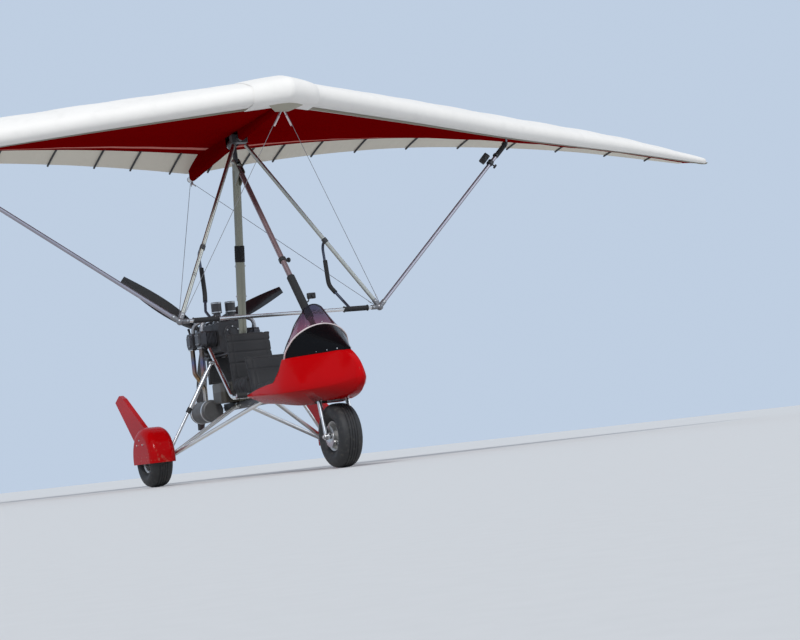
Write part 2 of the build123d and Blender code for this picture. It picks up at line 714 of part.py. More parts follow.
wheels = (
    ("front", front_axle, front_tyre_r),
    ("starboard", at(-track / 2, 0, rear_tyre_r), rear_tyre_r),
    ("port", at(track / 2, 0, rear_tyre_r), rear_tyre_r),
)
for place, middle, radius in wheels:
    with BuildPart() as wheel_tyre:
        tyre(middle, radius)
    finish(wheel_tyre, f"{place}_tyre")
    with BuildPart() as wheel_rim:
        rim(middle)
    finish(wheel_rim, f"{place}_rim")

# Propeller: hub on its shaft, and blades
hub_mid = at(0, prop_aft, prop_z)
prop_hub_r = 62.0
prop_hub_half = 30.0
with BuildPart() as propeller_hub:
    rod(at(0, prop_aft - prop_hub_half, prop_z), at(0, prop_aft + prop_hub_half, prop_z), prop_hub_r)
    rod(at(0, box_rear - 50, prop_z), at(0, prop_aft - prop_hub_half + 1, prop_z), shaft_r)
finish(propeller_hub, "propeller_hub")

# Blade stations: radius as a share of the tip's, chord, thickness, angle to the disc
first_blade = 23.0
blade_root = 0.12
blade_stations = (
    (blade_root, 62.0, 34.0, 48.0),
    (0.35, 118.0, 20.0, 33.0),
    (0.70, 112.0, 13.0, 21.0),
    (1.00, 62.0, 7.0, 15.0),
)
with BuildPart() as propeller_blades:
    for n in range(blades):
        turn = radians(first_blade + 360 * n / blades)
        out = Vector(cos(turn), 0, sin(turn))
        faces = []
        for share, chord, thick, angle in blade_stations:
            twist = radians(angle)
            across = Vector(-sin(turn), 0, cos(turn)) * cos(twist) + Vector(0, 1, 0) * sin(twist)
            station = Plane(origin=hub_mid + out * prop_r * share, x_dir=across, z_dir=out)
            with BuildSketch(station) as section:
                with BuildLine():
                    ThreePointArc((-chord / 2, 0), (0, thick / 2), (chord / 2, 0))
                    ThreePointArc((chord / 2, 0), (0, -thick / 2), (-chord / 2, 0))
                make_face()
            faces.append(section.sketch.faces()[0])
        loft(faces)
        rod(hub_mid + out * (prop_hub_r + SEAT), hub_mid + out * (prop_r * blade_root + 12), 15)
finish(propeller_blades, "propeller_blades")

# Hang block: sleeve on the keel, tongue on the hang bolt
keel_mid = on_wing(0, 0, keel_up)
block_half = 45.0
block_wall = 13.0
tongue_r = 18.0
tongue_half = 14.0
tongue_line = (
    keel_mid - wing_aft * (tongue_r + 4), keel_mid + wing_aft * (tongue_r + 4),
    bolt + wing_aft * tongue_r, bolt - wing_aft * tongue_r,
)
with BuildPart() as hang_block:
    rod(on_wing(0, -block_half, keel_up), on_wing(0, block_half, keel_up), keel_r + block_wall)
    with BuildSketch(Plane.YZ) as tongue:
        with BuildLine():
            Polyline(*[(p.Y, p.Z) for p in tongue_line], close=True)
        make_face()
        with Locations((bolt.Y, bolt.Z)):
            Circle(tongue_r)
    extrude(tongue.sketch, amount=tongue_half, both=True)
    bore_half = block_half + 5
    rod(on_wing(0, -bore_half, keel_up), on_wing(0, bore_half, keel_up), keel_r + RUN, Mode.SUBTRACT)
    rod(bolt - Vector(20, 0, 0), bolt + Vector(20, 0, 0), bolt_r + RUN, Mode.SUBTRACT)
finish(hang_block, "hang_block")

# Keel tube, with the tang for the tail wires
tang_w = 9.0        # tangs' half thickness
tang_l = 30.0
with BuildPart() as keel_tube:
    rod(on_wing(0, -nose_fwd - 30, keel_up), on_wing(0, keel_aft, keel_up), keel_r)
    with BuildSketch(wing_plane.offset(keel_up - keel_r - 26)) as tang:
        with Locations((0, keel_aft - 20)):
            Rectangle(2 * tang_w, tang_l)
    extrude(tang.sketch, amount=tang_l)
finish(keel_tube, "keel_tube")

# Sail: ribs with distance out, underside at the nose, chord, depth, nose radius and washout
ribs = (
    (keel_r + SEAT, 125.0, 2300.0, 262.0, 72.0, 1.8),
    (1250.0, 91.0, 1900.0, 240.0, 70.0, 8.0),
    (strut_x, 57.0, 1500.0, 205.0, 66.0, 13.6),
    (4000.0, 66.0, 1000.0, 140.0, 48.0, 17.0),
    (5180.0, 62.0, 500.0, 60.0, 26.0, 17.0),
)
sail_fwd = 130.0    # sail's nose ahead of the nose plate
crest = 0.26        # share of the chord at the highest point
hem = 0.86          # share of the chord covered by the lower surface
sail_t = 4.0


def rib_arc(rib):
    """Functions that give points of a rib's front arc and rear arc, in the rib's own plane."""
    out, low, chord, depth, nose_r, washout = rib
    top = crest * chord
    fall = depth - sail_t
    rear_r = ((chord - top) ** 2 + fall ** 2) / (2 * fall)
    slope = radians(28)
    brow = (nose_r * (1 - sin(slope)), nose_r * (1 + cos(slope)))
    rise = depth - brow[1]
    front_r = ((top - brow[0]) ** 2 + rise ** 2) / (2 * rise)

    def front(run):
        return run, depth - front_r + sqrt(front_r ** 2 - (top - run) ** 2)

    def rear(share, drop):
        return share * chord, depth - rear_r + sqrt((rear_r - drop) ** 2 - (share * chord - top) ** 2)

    return front, rear, brow


def rib_face(rib, side):
    """The sail's section at a rib of one side."""
    out, low, chord, depth, nose_r, washout = rib
    front, rear, brow = rib_arc(rib)
    nose = on_wing(side * out, -nose_fwd - sail_fwd + out * tan(radians(sweep)), low)
    turn = radians(washout)
    chord_dir = wing_aft * cos(turn) + wing_up * sin(turn)
    top = crest * chord
    with BuildSketch(Plane(origin=nose, x_dir=chord_dir, z_dir=(1, 0, 0))) as section:
        with BuildLine():
            ThreePointArc((nose_r, 0), (0, nose_r), brow)
            ThreePointArc(brow, front((brow[0] + top) / 2), (top, depth))
            ThreePointArc((top, depth), rear((1 + crest) / 2, 0), (chord, sail_t))
            Line((chord, sail_t), rear(1.0, sail_t))
            ThreePointArc(rear(1.0, sail_t), rear((1 + hem) / 2, sail_t), rear(hem, sail_t))
            Line(rear(hem, sail_t), (nose_r, 0))
        make_face()
    return section.sketch.faces()[0]


# Slot in the sail over the hang block and the apex bracket: width, length and middle aft
slot_w = 150.0
slot_l = 240.0
slot_aft = -50.0
slot_top = keel_up + keel_r + 22
for name, side in (("starboard", -1), ("port", 1)):
    with BuildPart() as sail:
        loft([rib_face(rib, side) for rib in ribs], ruled=True)
        with BuildSketch(wing_plane) as slot:
            with Locations((0, slot_aft)):
                Rectangle(slot_w, slot_l)
        extrude(slot.sketch, amount=slot_top, mode=Mode.SUBTRACT)
    finish(sail, f"sail_{name}")

# Keel pocket: the centre strip over the keel, and the sheath round its tail
with BuildPart() as keel_pocket:
    strip = rib_face((0.0,) + ribs[0][1:], 1)
    extrude(strip, amount=keel_r, both=True, dir=(1, 0, 0))
    with BuildSketch(wing_plane) as under:
        Rectangle(slot_w, 4 * keel_aft)
    extrude(under.sketch, amount=keel_up, mode=Mode.SUBTRACT)
    with BuildSketch(wing_plane) as slot:
        with Locations((0, slot_aft)):
            Rectangle(slot_w, slot_l)
    extrude(slot.sketch, amount=slot_top, mode=Mode.SUBTRACT)
    rod(on_wing(0, -nose_fwd - 50, keel_up), on_wing(0, keel_aft + 50, keel_up),
        keel_r + SEAT, Mode.SUBTRACT)
finish(keel_pocket, "keel_pocket")

# Control frame
ball_r = 28.0
grip = (110.0, 300.0)   # grips' ends, in from the corners
grip_r = bar_r + 4.5
socket = 72.0       # corner fittings' sockets round the tubes
socket_t = 4.0
bracket_w = 130.0
bracket_h = 64.0
bracket_l = 60.0
corners = {side: on_wing(side * bar_half, -bar_fwd, -bar_down) for side in (-1, 1)}
apex = {side: on_wing(side * 40, -apex_fwd, keel_up - 30) for side in (-1, 1)}
with BuildPart() as apex_bracket:
    bracket_front = on_wing(0, -apex_fwd - bracket_l / 2, keel_up)
    with BuildSketch(Plane(origin=bracket_front, x_dir=(1, 0, 0), z_dir=wing_aft)) as cross:
        Rectangle(bracket_w, bracket_h)
    extrude(cross.sketch, amount=bracket_l)
    rod(on_wing(0, -apex_fwd - bracket_l, keel_up), on_wing(0, bracket_l - apex_fwd, keel_up),
        keel_r + SEAT, Mode.SUBTRACT)
finish(apex_bracket, "apex_bracket")

with BuildPart() as uprights:
    for side in (-1, 1):
        run = (corners[side] - apex[side]).normalized()
        rod(apex[side] + run * 22, corners[side] - run * (ball_r + SEAT), upright_r)
finish(uprights, "uprights")

with BuildPart() as base_bar:
    end = Vector(ball_r + SEAT, 0, 0)
    rod(corners[-1] + end, corners[1] - end, bar_r)
    for side in (-1, 1):
        inward = Vector(-side, 0, 0)
        rod(corners[side] + inward * grip[0], corners[side] + inward * grip[1], grip_r)
finish(base_bar, "base_bar")

# Curved training bars from the uprights down to the base bar
training_r = 11.0
training_top = 0.60     # share of the upright's run
training_foot = 250.0   # in from the corner
training_aft = 70.0
training_drop = 330.0   # straight part below the upper bend
training_bend = 60.0
with BuildPart() as training_bars:
    for side in (-1, 1):
        run = (corners[side] - apex[side]).normalized()
        hold = apex[side] + (corners[side] - apex[side]) * training_top
        out = (wing_aft - run * wing_aft.dot(run)).normalized()
        foot = corners[side] - Vector(side * training_foot, 0, 0)
        near = (wing_aft + wing_up * 0.8).normalized()
        path = [
            hold + out * (upright_r + SEAT), hold + out * (upright_r + training_aft),
            hold + out * training_aft - wing_up * training_drop,
            foot + near * 130, foot + near * (grip_r + SEAT),
        ]
        bent_tube(path, training_bend, training_r)
finish(training_bars, "training_bars")

strut_rib = ribs[2]
strut_run = 190.0       # strut's pad behind the sail's nose
pad_r = 10.0
pad_gap = 2.2           # under the rib, for the sail's twist across the pad


def strut_pad(side, below):
    """The point under the sail that a strut's pad meets, lowered by a distance."""
    out, low, chord, depth, nose_r, washout = strut_rib
    turn = radians(washout)
    hem_run, hem_rise = rib_arc(strut_rib)[1](hem, sail_t)
    rise = hem_rise * (strut_run - nose_r) / (hem_run - nose_r)
    nose = on_wing(side * out, -nose_fwd - sail_fwd + out * tan(radians(sweep)), low)
    along = wing_aft * cos(turn) + wing_up * sin(turn)
    normal = wing_up * cos(turn) - wing_aft * sin(turn)
    return nose + along * strut_run + normal * (rise - below)


strut_foot = {side: strut_pad(side, 40) for side in (-1, 1)}
with BuildPart() as corner_fittings:
    with Locations(corners[-1], corners[1]):
        Sphere(ball_r)
    for side in (-1, 1):
        arms = (
            ((apex[side] - corners[side]).normalized(), upright_r),
            (Vector(-side, 0, 0), bar_r),
            ((strut_foot[side] - corners[side]).normalized(), strut_r),
        )
        for run, tube_r in arms:
            rod(corners[side], corners[side] + run * socket, tube_r + socket_t)
        for run, tube_r in arms:
            rod(corners[side] + run * ball_r, corners[side] + run * (socket + 1),
                tube_r + SEAT, Mode.SUBTRACT)
finish(corner_fittings, "corner_fittings")

with BuildPart() as wing_struts:
    for side in (-1, 1):
        run = (strut_foot[side] - corners[side]).normalized()
        rod(corners[side] + run * (ball_r + SEAT), strut_foot[side], strut_r)
        rod(strut_foot[side] - run * 190, strut_foot[side] - run * 12, strut_r + 5)
        pad = strut_pad(side, pad_gap)
        rod(strut_foot[side] - (pad - strut_foot[side]) * 0.3, pad, pad_r)
finish(wing_struts, "wing_struts")

plate_t = 6.0
plate_rows = (      # half width and place along the keel
    (30.0, -nose_fwd - 40), (70.0, -nose_fwd + 60), (30.0, -nose_fwd + 150),
    (-30.0, -nose_fwd + 150), (-70.0, -nose_fwd + 60), (-30.0, -nose_fwd - 40),
)
nose_hook = on_wing(0, -nose_fwd + 90, keel_up - keel_r - 18)
tail_hook = on_wing(0, keel_aft - 20, keel_up - keel_r - 14)
with BuildPart() as nose_plate:
    with BuildSketch(wing_plane.offset(keel_up - keel_r - SEAT - plate_t)) as plate:
        with BuildLine():
            Polyline(*plate_rows, close=True)
        make_face()
    extrude(plate.sketch, amount=plate_t)
    with BuildSketch(wing_plane.offset(keel_up - keel_r - tang_l)) as tang:
        with Locations((0, -nose_fwd + 90)):
            Rectangle(2 * tang_w, tang_l)
    extrude(tang.sketch, amount=tang_l - plate_t + 1)
finish(nose_plate, "nose_plate")
wire_start = Vector(0, ball_r + wire_r + SEAT, 0)
hook_side = Vector(tang_w + wire_r + SEAT, 0, 0)
with BuildPart() as nose_wires:
    for side in (-1, 1):
        rod(corners[side] - wire_start, nose_hook + hook_side * side, wire_r)
finish(nose_wires, "nose_wires")
with BuildPart() as tail_wires:
    for side in (-1, 1):
        rod(corners[side] + wire_start, tail_hook + hook_side * side, wire_r)
finish(tail_wires, "tail_wires")
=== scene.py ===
# %% [markdown]
# A two-seat weight-shift microlight aircraft: a three-wheeled trike that hangs under a flexible wing.
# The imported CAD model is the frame. It already has every tube, wheel and joint at its real size and place.
# This lesson loads it, then gives it finishes, cloth, padding and the small fittings that CAD leaves out.

# %% Load the frame
import bmesh
import bpy
import json
from math import cos, exp, pi, radians, sin, sqrt, tan
from mathutils import Matrix, Vector, noise


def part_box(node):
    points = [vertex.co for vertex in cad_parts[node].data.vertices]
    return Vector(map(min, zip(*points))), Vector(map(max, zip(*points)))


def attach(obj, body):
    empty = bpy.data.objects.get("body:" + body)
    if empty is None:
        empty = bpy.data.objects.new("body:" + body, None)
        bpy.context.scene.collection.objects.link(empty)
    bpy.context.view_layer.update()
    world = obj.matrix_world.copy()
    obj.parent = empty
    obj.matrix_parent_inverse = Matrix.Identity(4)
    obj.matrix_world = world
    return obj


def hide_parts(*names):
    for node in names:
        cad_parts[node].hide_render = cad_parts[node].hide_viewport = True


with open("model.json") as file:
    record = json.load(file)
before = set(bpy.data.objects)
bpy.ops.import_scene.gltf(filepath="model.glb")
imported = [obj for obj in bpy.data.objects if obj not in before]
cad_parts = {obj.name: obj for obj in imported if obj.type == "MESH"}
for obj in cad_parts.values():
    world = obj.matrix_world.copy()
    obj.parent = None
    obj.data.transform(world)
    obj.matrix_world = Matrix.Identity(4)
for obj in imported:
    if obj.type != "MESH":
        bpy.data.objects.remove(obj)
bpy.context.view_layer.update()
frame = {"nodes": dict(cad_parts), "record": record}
nodes = frame["nodes"]

# %% [markdown]
# The trike's places are measured from the rear axle, as in the CAD file, and the wing's from the hang bolt.
# The wing's own axes lean six degrees nose up, so a short function turns its places into the shared frame.

# %% Places of the trike and the wing
axle_y = 0.6135
pitch = radians(6.0)
bolt = Vector((0.0, axle_y - 0.355, 2.485))
wing_aft = Vector((0.0, cos(pitch), -sin(pitch)))
wing_up = Vector((0.0, sin(pitch), cos(pitch)))
keel_up = 0.150
keel_r = 0.025


def at(x, aft, z):
    """A point of the trike: to port, behind the rear axle, above the ground."""
    return Vector((x, axle_y + aft, z))


def on_wing(x, y, z):
    """A point of the wing, from the wing's own axes."""
    return bolt + Vector((x, 0.0, 0.0)) + wing_aft * y + wing_up * z


# %% [markdown]
# The camera comes first. It was fitted to the photograph's wing, control frame and wheels: a long lens, low over
# the ground, ahead and to starboard, with the aircraft banked. Banking the camera keeps the aircraft level here.

# %% Camera
def place_camera():
    """Puts the camera where the photograph was taken from."""
    turn, tilt, bank = radians(-26.275), radians(-3.712), radians(6.295)
    distance, focal_px, photo_px, sensor_mm = 15.157, 1952.99, 800, 36.0
    aim_right, aim_up = 1.0465, 1.0807
    back = Vector((sin(turn) * cos(tilt), -cos(turn) * cos(tilt), sin(tilt)))
    right = (-back).cross(Vector((0, 0, 1))).normalized()
    up = right.cross(-back)
    side = right * cos(bank) - up * sin(bank)
    top = right * sin(bank) + up * cos(bank)
    aim = Vector((0, axle_y - 0.6, 0)) + right * aim_right + Vector((0, 0, 1)) * aim_up
    clear_all()
    bpy.ops.object.camera_add()
    camera = bpy.context.object
    camera.data.sensor_width = sensor_mm
    camera.data.lens = focal_px / photo_px * sensor_mm
    camera.matrix_world = Matrix((side, top, back)).transposed().to_4x4()
    camera.location = aim + back * distance
    bpy.context.scene.camera = camera
    print("camera at", [round(v, 3) for v in camera.location])


def clear_all():
    """Leaves edit mode and deselects everything, so that the next operator acts on nothing else."""
    if bpy.context.object and bpy.context.object.mode != "OBJECT":
        bpy.ops.object.mode_set(mode="OBJECT")
    bpy.ops.object.select_all(action="DESELECT")


place_camera()

# %% [markdown]
# Two shapes here, the pod and the wing, are given as a table of sections. A real mould or sail is fair: it runs
# smoothly from one section to the next. Cubic curves through the table's rows give any section between them.

# %% Fair curves through a table
def fair(table, spot):
    """A row between the rows of a table, whose first column is the place, along smooth curves."""
    spot = max(table[0][0], min(spot, table[-1][0]))
    k = max(i for i in range(len(table) - 1) if spot >= table[i][0])
    near, far = table[k], table[k + 1]
    step = far[0] - near[0]
    s = (spot - near[0]) / step

    def slope(i, n):
        first, last = table[max(i - 1, 0)], table[min(i + 1, len(table) - 1)]
        return (last[n] - first[n]) / (last[0] - first[0])

    return [
        near[n] * (2 * s ** 3 - 3 * s ** 2 + 1) + far[n] * (3 * s ** 2 - 2 * s ** 3)
        + step * (slope(k, n) * (s ** 3 - 2 * s ** 2 + s) + slope(k + 1, n) * (s ** 3 - s ** 2))
        for n in range(1, len(near))
    ]


# %% [markdown]
# A surface varies through numbers that change over it. Wrapping a node's output in a small class lets those numbers
# be written as plain sums, such as `1 - mask * 0.4`. One method adds any other node.

# %% Signals and finishes
class Signal:
    """A number or colour that varies over a surface. Python's operators add Math nodes."""

    def __init__(self, finish, socket):
        self.finish = finish
        self.socket = socket

    def _math(self, operation, *values):
        return self.finish.add("ShaderNodeMath", {"operation": operation}, dict(enumerate(values)))

    def __add__(self, other):
        return self._math("ADD", self, other)

    __radd__ = __add__

    def __sub__(self, other):
        return self._math("SUBTRACT", self, other)

    def __rsub__(self, other):
        return self._math("SUBTRACT", other, self)

    def __mul__(self, other):
        return self._math("MULTIPLY", self, other)

    __rmul__ = __mul__

    def __abs__(self):
        return self._math("ABSOLUTE", self)


class Finish:
    """A material that is being put together round one Principled shader."""

    def __init__(self, name):
        self.material = bpy.data.materials.new(name)
        self.material.use_nodes = True
        self.tree = self.material.node_tree
        self.shader = self.tree.nodes["Principled BSDF"]
        self.place = self.add("ShaderNodeTexCoord", output="Object")

    def add(self, kind, settings=None, inputs=None, output=0):
        """Adds a node, sets it, feeds its sockets with values or signals and returns one output."""
        node = self.tree.nodes.new(kind)
        for key, value in (settings or {}).items():
            if key == "stops":
                for _ in value[2:]:
                    node.color_ramp.elements.new(0.5)
                for stop, (spot, colour) in zip(node.color_ramp.elements, value):
                    stop.position = spot
                    stop.color = colour
            else:
                setattr(node, key, value)
        for key, value in (inputs or {}).items():
            self.feed(node.inputs[key], value)
        return Signal(self, node.outputs[output])

    def feed(self, socket, value):
        """Links a signal to a socket, or writes a plain value on it."""
        if isinstance(value, Signal):
            self.tree.links.new(value.socket, socket)
        else:
            socket.default_value = value

    def shade(self, **values):
        """Sets the shader's sockets. An underscore in a name stands for a space."""
        for key, value in values.items():
            self.feed(self.shader.inputs[key.replace("_", " ")], value)
        return self.material

    def noise(self, scale, detail=3.0, stretch=(1.0, 1.0, 1.0)):
        """Smooth noise, in cells per metre, stretched along an axis where that is asked for."""
        spot = self.add("ShaderNodeMapping", {"vector_type": "POINT"}, {0: self.place, 3: stretch})
        return self.add("ShaderNodeTexNoise", {}, {"Vector": spot, "Scale": scale, "Detail": detail})

    def axis(self, name, source=None):
        """One coordinate of the place, or of another vector."""
        return self.add("ShaderNodeSeparateXYZ", {}, {0: source or self.place}, name)

    def band(self, value, low, high):
        """Rises smoothly from 0 at one value to 1 at another."""
        return self.add(
            "ShaderNodeMapRange", {"interpolation_type": "SMOOTHSTEP"}, {0: value, 1: low, 2: high, 3: 0.0, 4: 1.0}
        )

    def mix(self, mask, first, second):
        """Blends two colours by a mask."""
        return self.add("ShaderNodeMix", {"data_type": "RGBA"}, {0: mask, 6: first, 7: second}, 2)

    def bump(self, height, distance):
        """A normal that follows a height, in metres."""
        return self.add("ShaderNodeBump", {}, {"Height": height, "Distance": distance})


def tint(colour, scale=1.0):
    """A colour with its alpha, lighter or darker by a scale."""
    return tuple(min(c * scale, 1.0) for c in colour) + (1.0,)


# %% [markdown]
# Bare and anodised metal is never one even tone. Broad clouds of noise shift its colour a little, and fine noise
# shifts its roughness and leaves faint handling marks. Cast parts get the same with more relief and grime.

# %% Metal finishes
def metal(name, colour, rough, metallic=1.0, grain=60.0, relief=0.00006, grime=0.0):
    """Anodised, plated, painted or cast metal."""
    finish = Finish(name)
    cloud = finish.noise(5.0, 4.0)
    fine = finish.noise(grain, 2.0)
    base = finish.mix(cloud, tint(colour, 0.82), tint(colour, 1.12))
    stain = finish.band(finish.noise(17.0, 6.0), 0.48, 0.75) * grime
    return finish.shade(
        Base_Color=finish.mix(stain, base, (0.035, 0.03, 0.025, 1.0)),
        Roughness=rough + (cloud - 0.5) * 0.14 + stain * 0.25,
        Metallic=metallic,
        Normal=finish.bump(fine, relief),
    )


finishes = {
    name: metal(name, *look)
    for name, look in {
        "frame_alloy": ((0.16, 0.165, 0.17), 0.42),
        "mast_alloy": ((0.27, 0.27, 0.22), 0.38, 0.75),
        # The front stay's pinkish dark tone is painted shade and a painted reflection of the red wing on silver tube.
        "stay_alloy": ((0.30, 0.22, 0.23), 0.36, 0.7),
        "rail_alloy": ((0.80, 0.81, 0.82), 0.2),
        "bearer_steel": ((0.045, 0.045, 0.05), 0.42, 0.0),
        "radiator_core": ((0.03, 0.03, 0.032), 0.55, 0.0),
        "training_bar_paint": ((0.05, 0.06, 0.09), 0.3, 0.6),
        "engine_alloy": ((0.055, 0.055, 0.06), 0.5, 0.5, 260.0, 0.0006, 0.5),
        "cylinder_alloy": ((0.10, 0.10, 0.11), 0.45, 0.7, 260.0, 0.0005, 0.35),
        "gearbox_paint": ((0.05, 0.05, 0.055), 0.5, 0.4, 220.0, 0.0005, 0.3),
        "intake_paint": ((0.06, 0.06, 0.065), 0.45, 0.0, 200.0, 0.0003),
        "silencer_steel": ((0.11, 0.11, 0.11), 0.5, 0.5, 120.0, 0.0002, 0.3),
        "gear_alloy": ((0.74, 0.74, 0.72), 0.3),
        "damper_steel": ((0.66, 0.66, 0.66), 0.28),
        "fork_steel": ((0.68, 0.68, 0.68), 0.3),
        "foot_bar_alloy": ((0.45, 0.45, 0.46), 0.4),
        "rim_paint": ((0.62, 0.62, 0.61), 0.35, 0.6),
        "hub_alloy": ((0.34, 0.34, 0.35), 0.35),
        "hang_block_alloy": ((0.06, 0.06, 0.065), 0.4, 0.6),
        "keel_alloy": ((0.60, 0.60, 0.61), 0.32),
        "bracket_paint": ((0.07, 0.07, 0.075), 0.4, 0.4),
        "plate_steel": ((0.60, 0.60, 0.60), 0.3),
        "corner_plastic": ((0.22, 0.22, 0.23), 0.4, 0.8),
    }.items()
}
print("metal finishes", len(finishes))

# %% [markdown]
# The pod and the wheel spats are red gelcoat over glass fibre: a hard clear gloss with a hint of orange peel.
# Low down it carries dust from the field. Below about half a metre the pod's and spats' red is also darkened as
# painted shade.
# The hood is the same in black, without that shade.

# %% Gelcoat
def gelcoat(name, colour, dust, under=1.0):
    """Gloss moulded shell, dusty near the ground, and darker underneath as painted shade, by the scale under."""
    finish = Finish(name)
    height = finish.axis("Z")
    cloud = finish.noise(3.0, 3.0)
    speck = finish.noise(90.0, 6.0)
    low = (1 - finish.band(height, 0.12, 0.46)) * dust
    soil = finish.band(finish.noise(40.0, 8.0) + low * 0.25, 0.62, 0.95) * low
    upper = finish.mix(cloud, tint(colour, 0.9), tint(colour, 1.08))
    # Painted shade: below the height band the colour is scaled down by under.
    base = finish.mix(finish.band(height, 0.46, 0.66), tint(colour, under), upper)
    return finish.shade(
        Base_Color=finish.mix(soil, base, (0.30, 0.25, 0.18, 1.0)),
        Roughness=0.22 + (speck - 0.5) * 0.08 + soil * 0.5,
        Specular_IOR_Level=0.03,
        Coat_Weight=0.1 - soil * 0.09,
        Coat_Roughness=0.04,
        Normal=finish.bump(finish.noise(240.0, 2.0), 0.00008),
    )


# The last number darkens each shell low down as painted shade.
finishes["pod_gelcoat"] = gelcoat("pod_gelcoat", (0.44, 0.0015, 0.003), 0.5, 0.45)
finishes["spat_gelcoat"] = gelcoat("spat_gelcoat", (0.44, 0.0015, 0.003), 0.5, 0.8)
finishes["hood_gelcoat"] = gelcoat("hood_gelcoat", (0.004, 0.004, 0.005), 0.2)

# %% [markdown]
# Moulded plastics: fine pimples in the bump and a soft sheen. The fuel tank's dark grey is painted shade, for the
# shadow under the seat that it sits in, and fuel shows through it as a darker, warmer tone below a level line.

# %% Plastics, tank and rubber
def plastic(name, colour, rough, grain=420.0, relief=0.0002):
    """Textured moulded plastic or rubber."""
    finish = Finish(name)
    fine = finish.noise(grain, 3.0)
    cloud = finish.noise(9.0, 4.0)
    return finish.shade(
        Base_Color=finish.mix(cloud, tint(colour, 0.8), tint(colour, 1.25)),
        Roughness=rough + (fine - 0.5) * 0.2,
        Normal=finish.bump(fine, relief),
    )


finishes["panel_black"] = plastic("panel_black", (0.035, 0.035, 0.037), 0.6)
rubber = plastic("rubber_trim", (0.022, 0.022, 0.022), 0.7)


def fuel_tank_plastic():
    """Polyethylene painted dark grey as shade, with fuel in its lower half."""
    finish = Finish("tank_plastic")
    low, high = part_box("fuel_tank")
    level = low.z + (high.z - low.z) * 0.55
    fuel = 1 - finish.band(finish.axis("Z"), level - 0.004, level + 0.004)
    cloud = finish.noise(7.0, 3.0)
    # Painted shade: this dark grey stands for the shadow under the seat, not the plastic's own colour.
    shade_grey = finish.mix(cloud, (0.060, 0.060, 0.056, 1.0), (0.085, 0.084, 0.078, 1.0))
    return finish.shade(
        Base_Color=finish.mix(fuel, shade_grey, (0.035, 0.030, 0.022, 1.0)),
        Roughness=0.42 + (finish.noise(160.0) - 0.5) * 0.1,
        Subsurface_Weight=0.1,
        Subsurface_Radius=(0.03, 0.025, 0.015),
        Normal=finish.bump(finish.noise(60.0, 2.0), 0.0002),
    )


finishes["tank_plastic"] = fuel_tank_plastic()


def tyre_rubber():
    """Black rubber with grey scuffs and dust where it has rolled over grass."""
    finish = Finish("tyre_rubber")
    scuff = finish.band(finish.noise(34.0, 7.0), 0.5, 0.75)
    fine = finish.noise(330.0, 4.0)
    return finish.shade(
        Base_Color=finish.mix(scuff, (0.012, 0.012, 0.013, 1.0), (0.045, 0.043, 0.039, 1.0)),
        Roughness=0.62 + scuff * 0.2 + (fine - 0.5) * 0.1,
        Normal=finish.bump(fine, 0.0003),
    )


finishes["tyre_rubber"] = tyre_rubber()

# %% [markdown]
# The windscreen is smoke tinted polycarbonate with a purple cast, darkest along its top. Light has to pass it, so
# the shader transmits and its colour is the tint. Fine wiping marks vary its roughness.

# %% Windscreen, exhaust, blades and wire
def screen_tint():
    """Smoky purple clear sheet."""
    finish = Finish("screen_tint")
    wipe = finish.noise(14.0, 6.0, (1.0, 1.0, 4.0))
    low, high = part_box("windscreen")
    top = finish.band(finish.axis("Z"), low.z + 0.15, high.z - 0.02)
    return finish.shade(
        Base_Color=finish.mix(top, (0.36, 0.13, 0.18, 1.0), (0.09, 0.075, 0.12, 1.0)),
        Roughness=0.02 + wipe * 0.05,
        Transmission_Weight=0.93,
        IOR=1.3,
    )


def exhaust_steel():
    """Stainless pipe, blued and browned by heat towards the engine."""
    finish = Finish("exhaust_steel")
    low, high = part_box("exhaust_pipes")
    heat = finish.band(finish.axis("Z"), low.z, high.z) + (finish.noise(9.0, 4.0) - 0.5) * 0.35
    tone = finish.add(
        "ShaderNodeValToRGB",
        {"stops": [(0.0, (0.46, 0.44, 0.41, 1)), (0.4, (0.40, 0.29, 0.16, 1)), (0.65, (0.24, 0.15, 0.16, 1)),
                   (0.82, (0.13, 0.15, 0.27, 1)), (1.0, (0.19, 0.15, 0.12, 1))]},
        {0: heat},
    )
    return finish.shade(Base_Color=tone, Metallic=1.0, Roughness=0.34 + (finish.noise(120.0) - 0.5) * 0.2)


def blade_composite():
    """Dark satin laminate, paler where grit has worn the outer leading edges."""
    finish = Finish("blade_composite")
    weave = finish.noise(420.0, 2.0)
    worn = finish.band(finish.noise(70.0, 6.0), 0.6, 0.8) * 0.35
    return finish.shade(
        Base_Color=finish.mix(worn, (0.016, 0.016, 0.018, 1.0), (0.10, 0.10, 0.10, 1.0)),
        Roughness=0.3 + worn * 0.4 + (weave - 0.5) * 0.1,
        Coat_Weight=0.5 - worn,
        Normal=finish.bump(weave, 0.00008),
    )


def wire_steel():
    """Stranded stainless wire: fine slanting lays round it."""
    finish = Finish("wire_steel")
    strand = finish.add(
        "ShaderNodeTexWave",
        {"bands_direction": "DIAGONAL"},
        {"Vector": finish.place, "Scale": 130.0, "Distortion": 0.5},
    )
    return finish.shade(
        Base_Color=finish.mix(strand, (0.16, 0.16, 0.17, 1.0), (0.26, 0.26, 0.27, 1.0)),
        Roughness=0.5,
        Metallic=0.6,
        Normal=finish.bump(strand, 0.0001),
    )


finishes["screen_tint"] = screen_tint()
finishes["exhaust_steel"] = exhaust_steel()
finishes["blade_composite"] = blade_composite()
finishes["wire_steel"] = wire_steel()
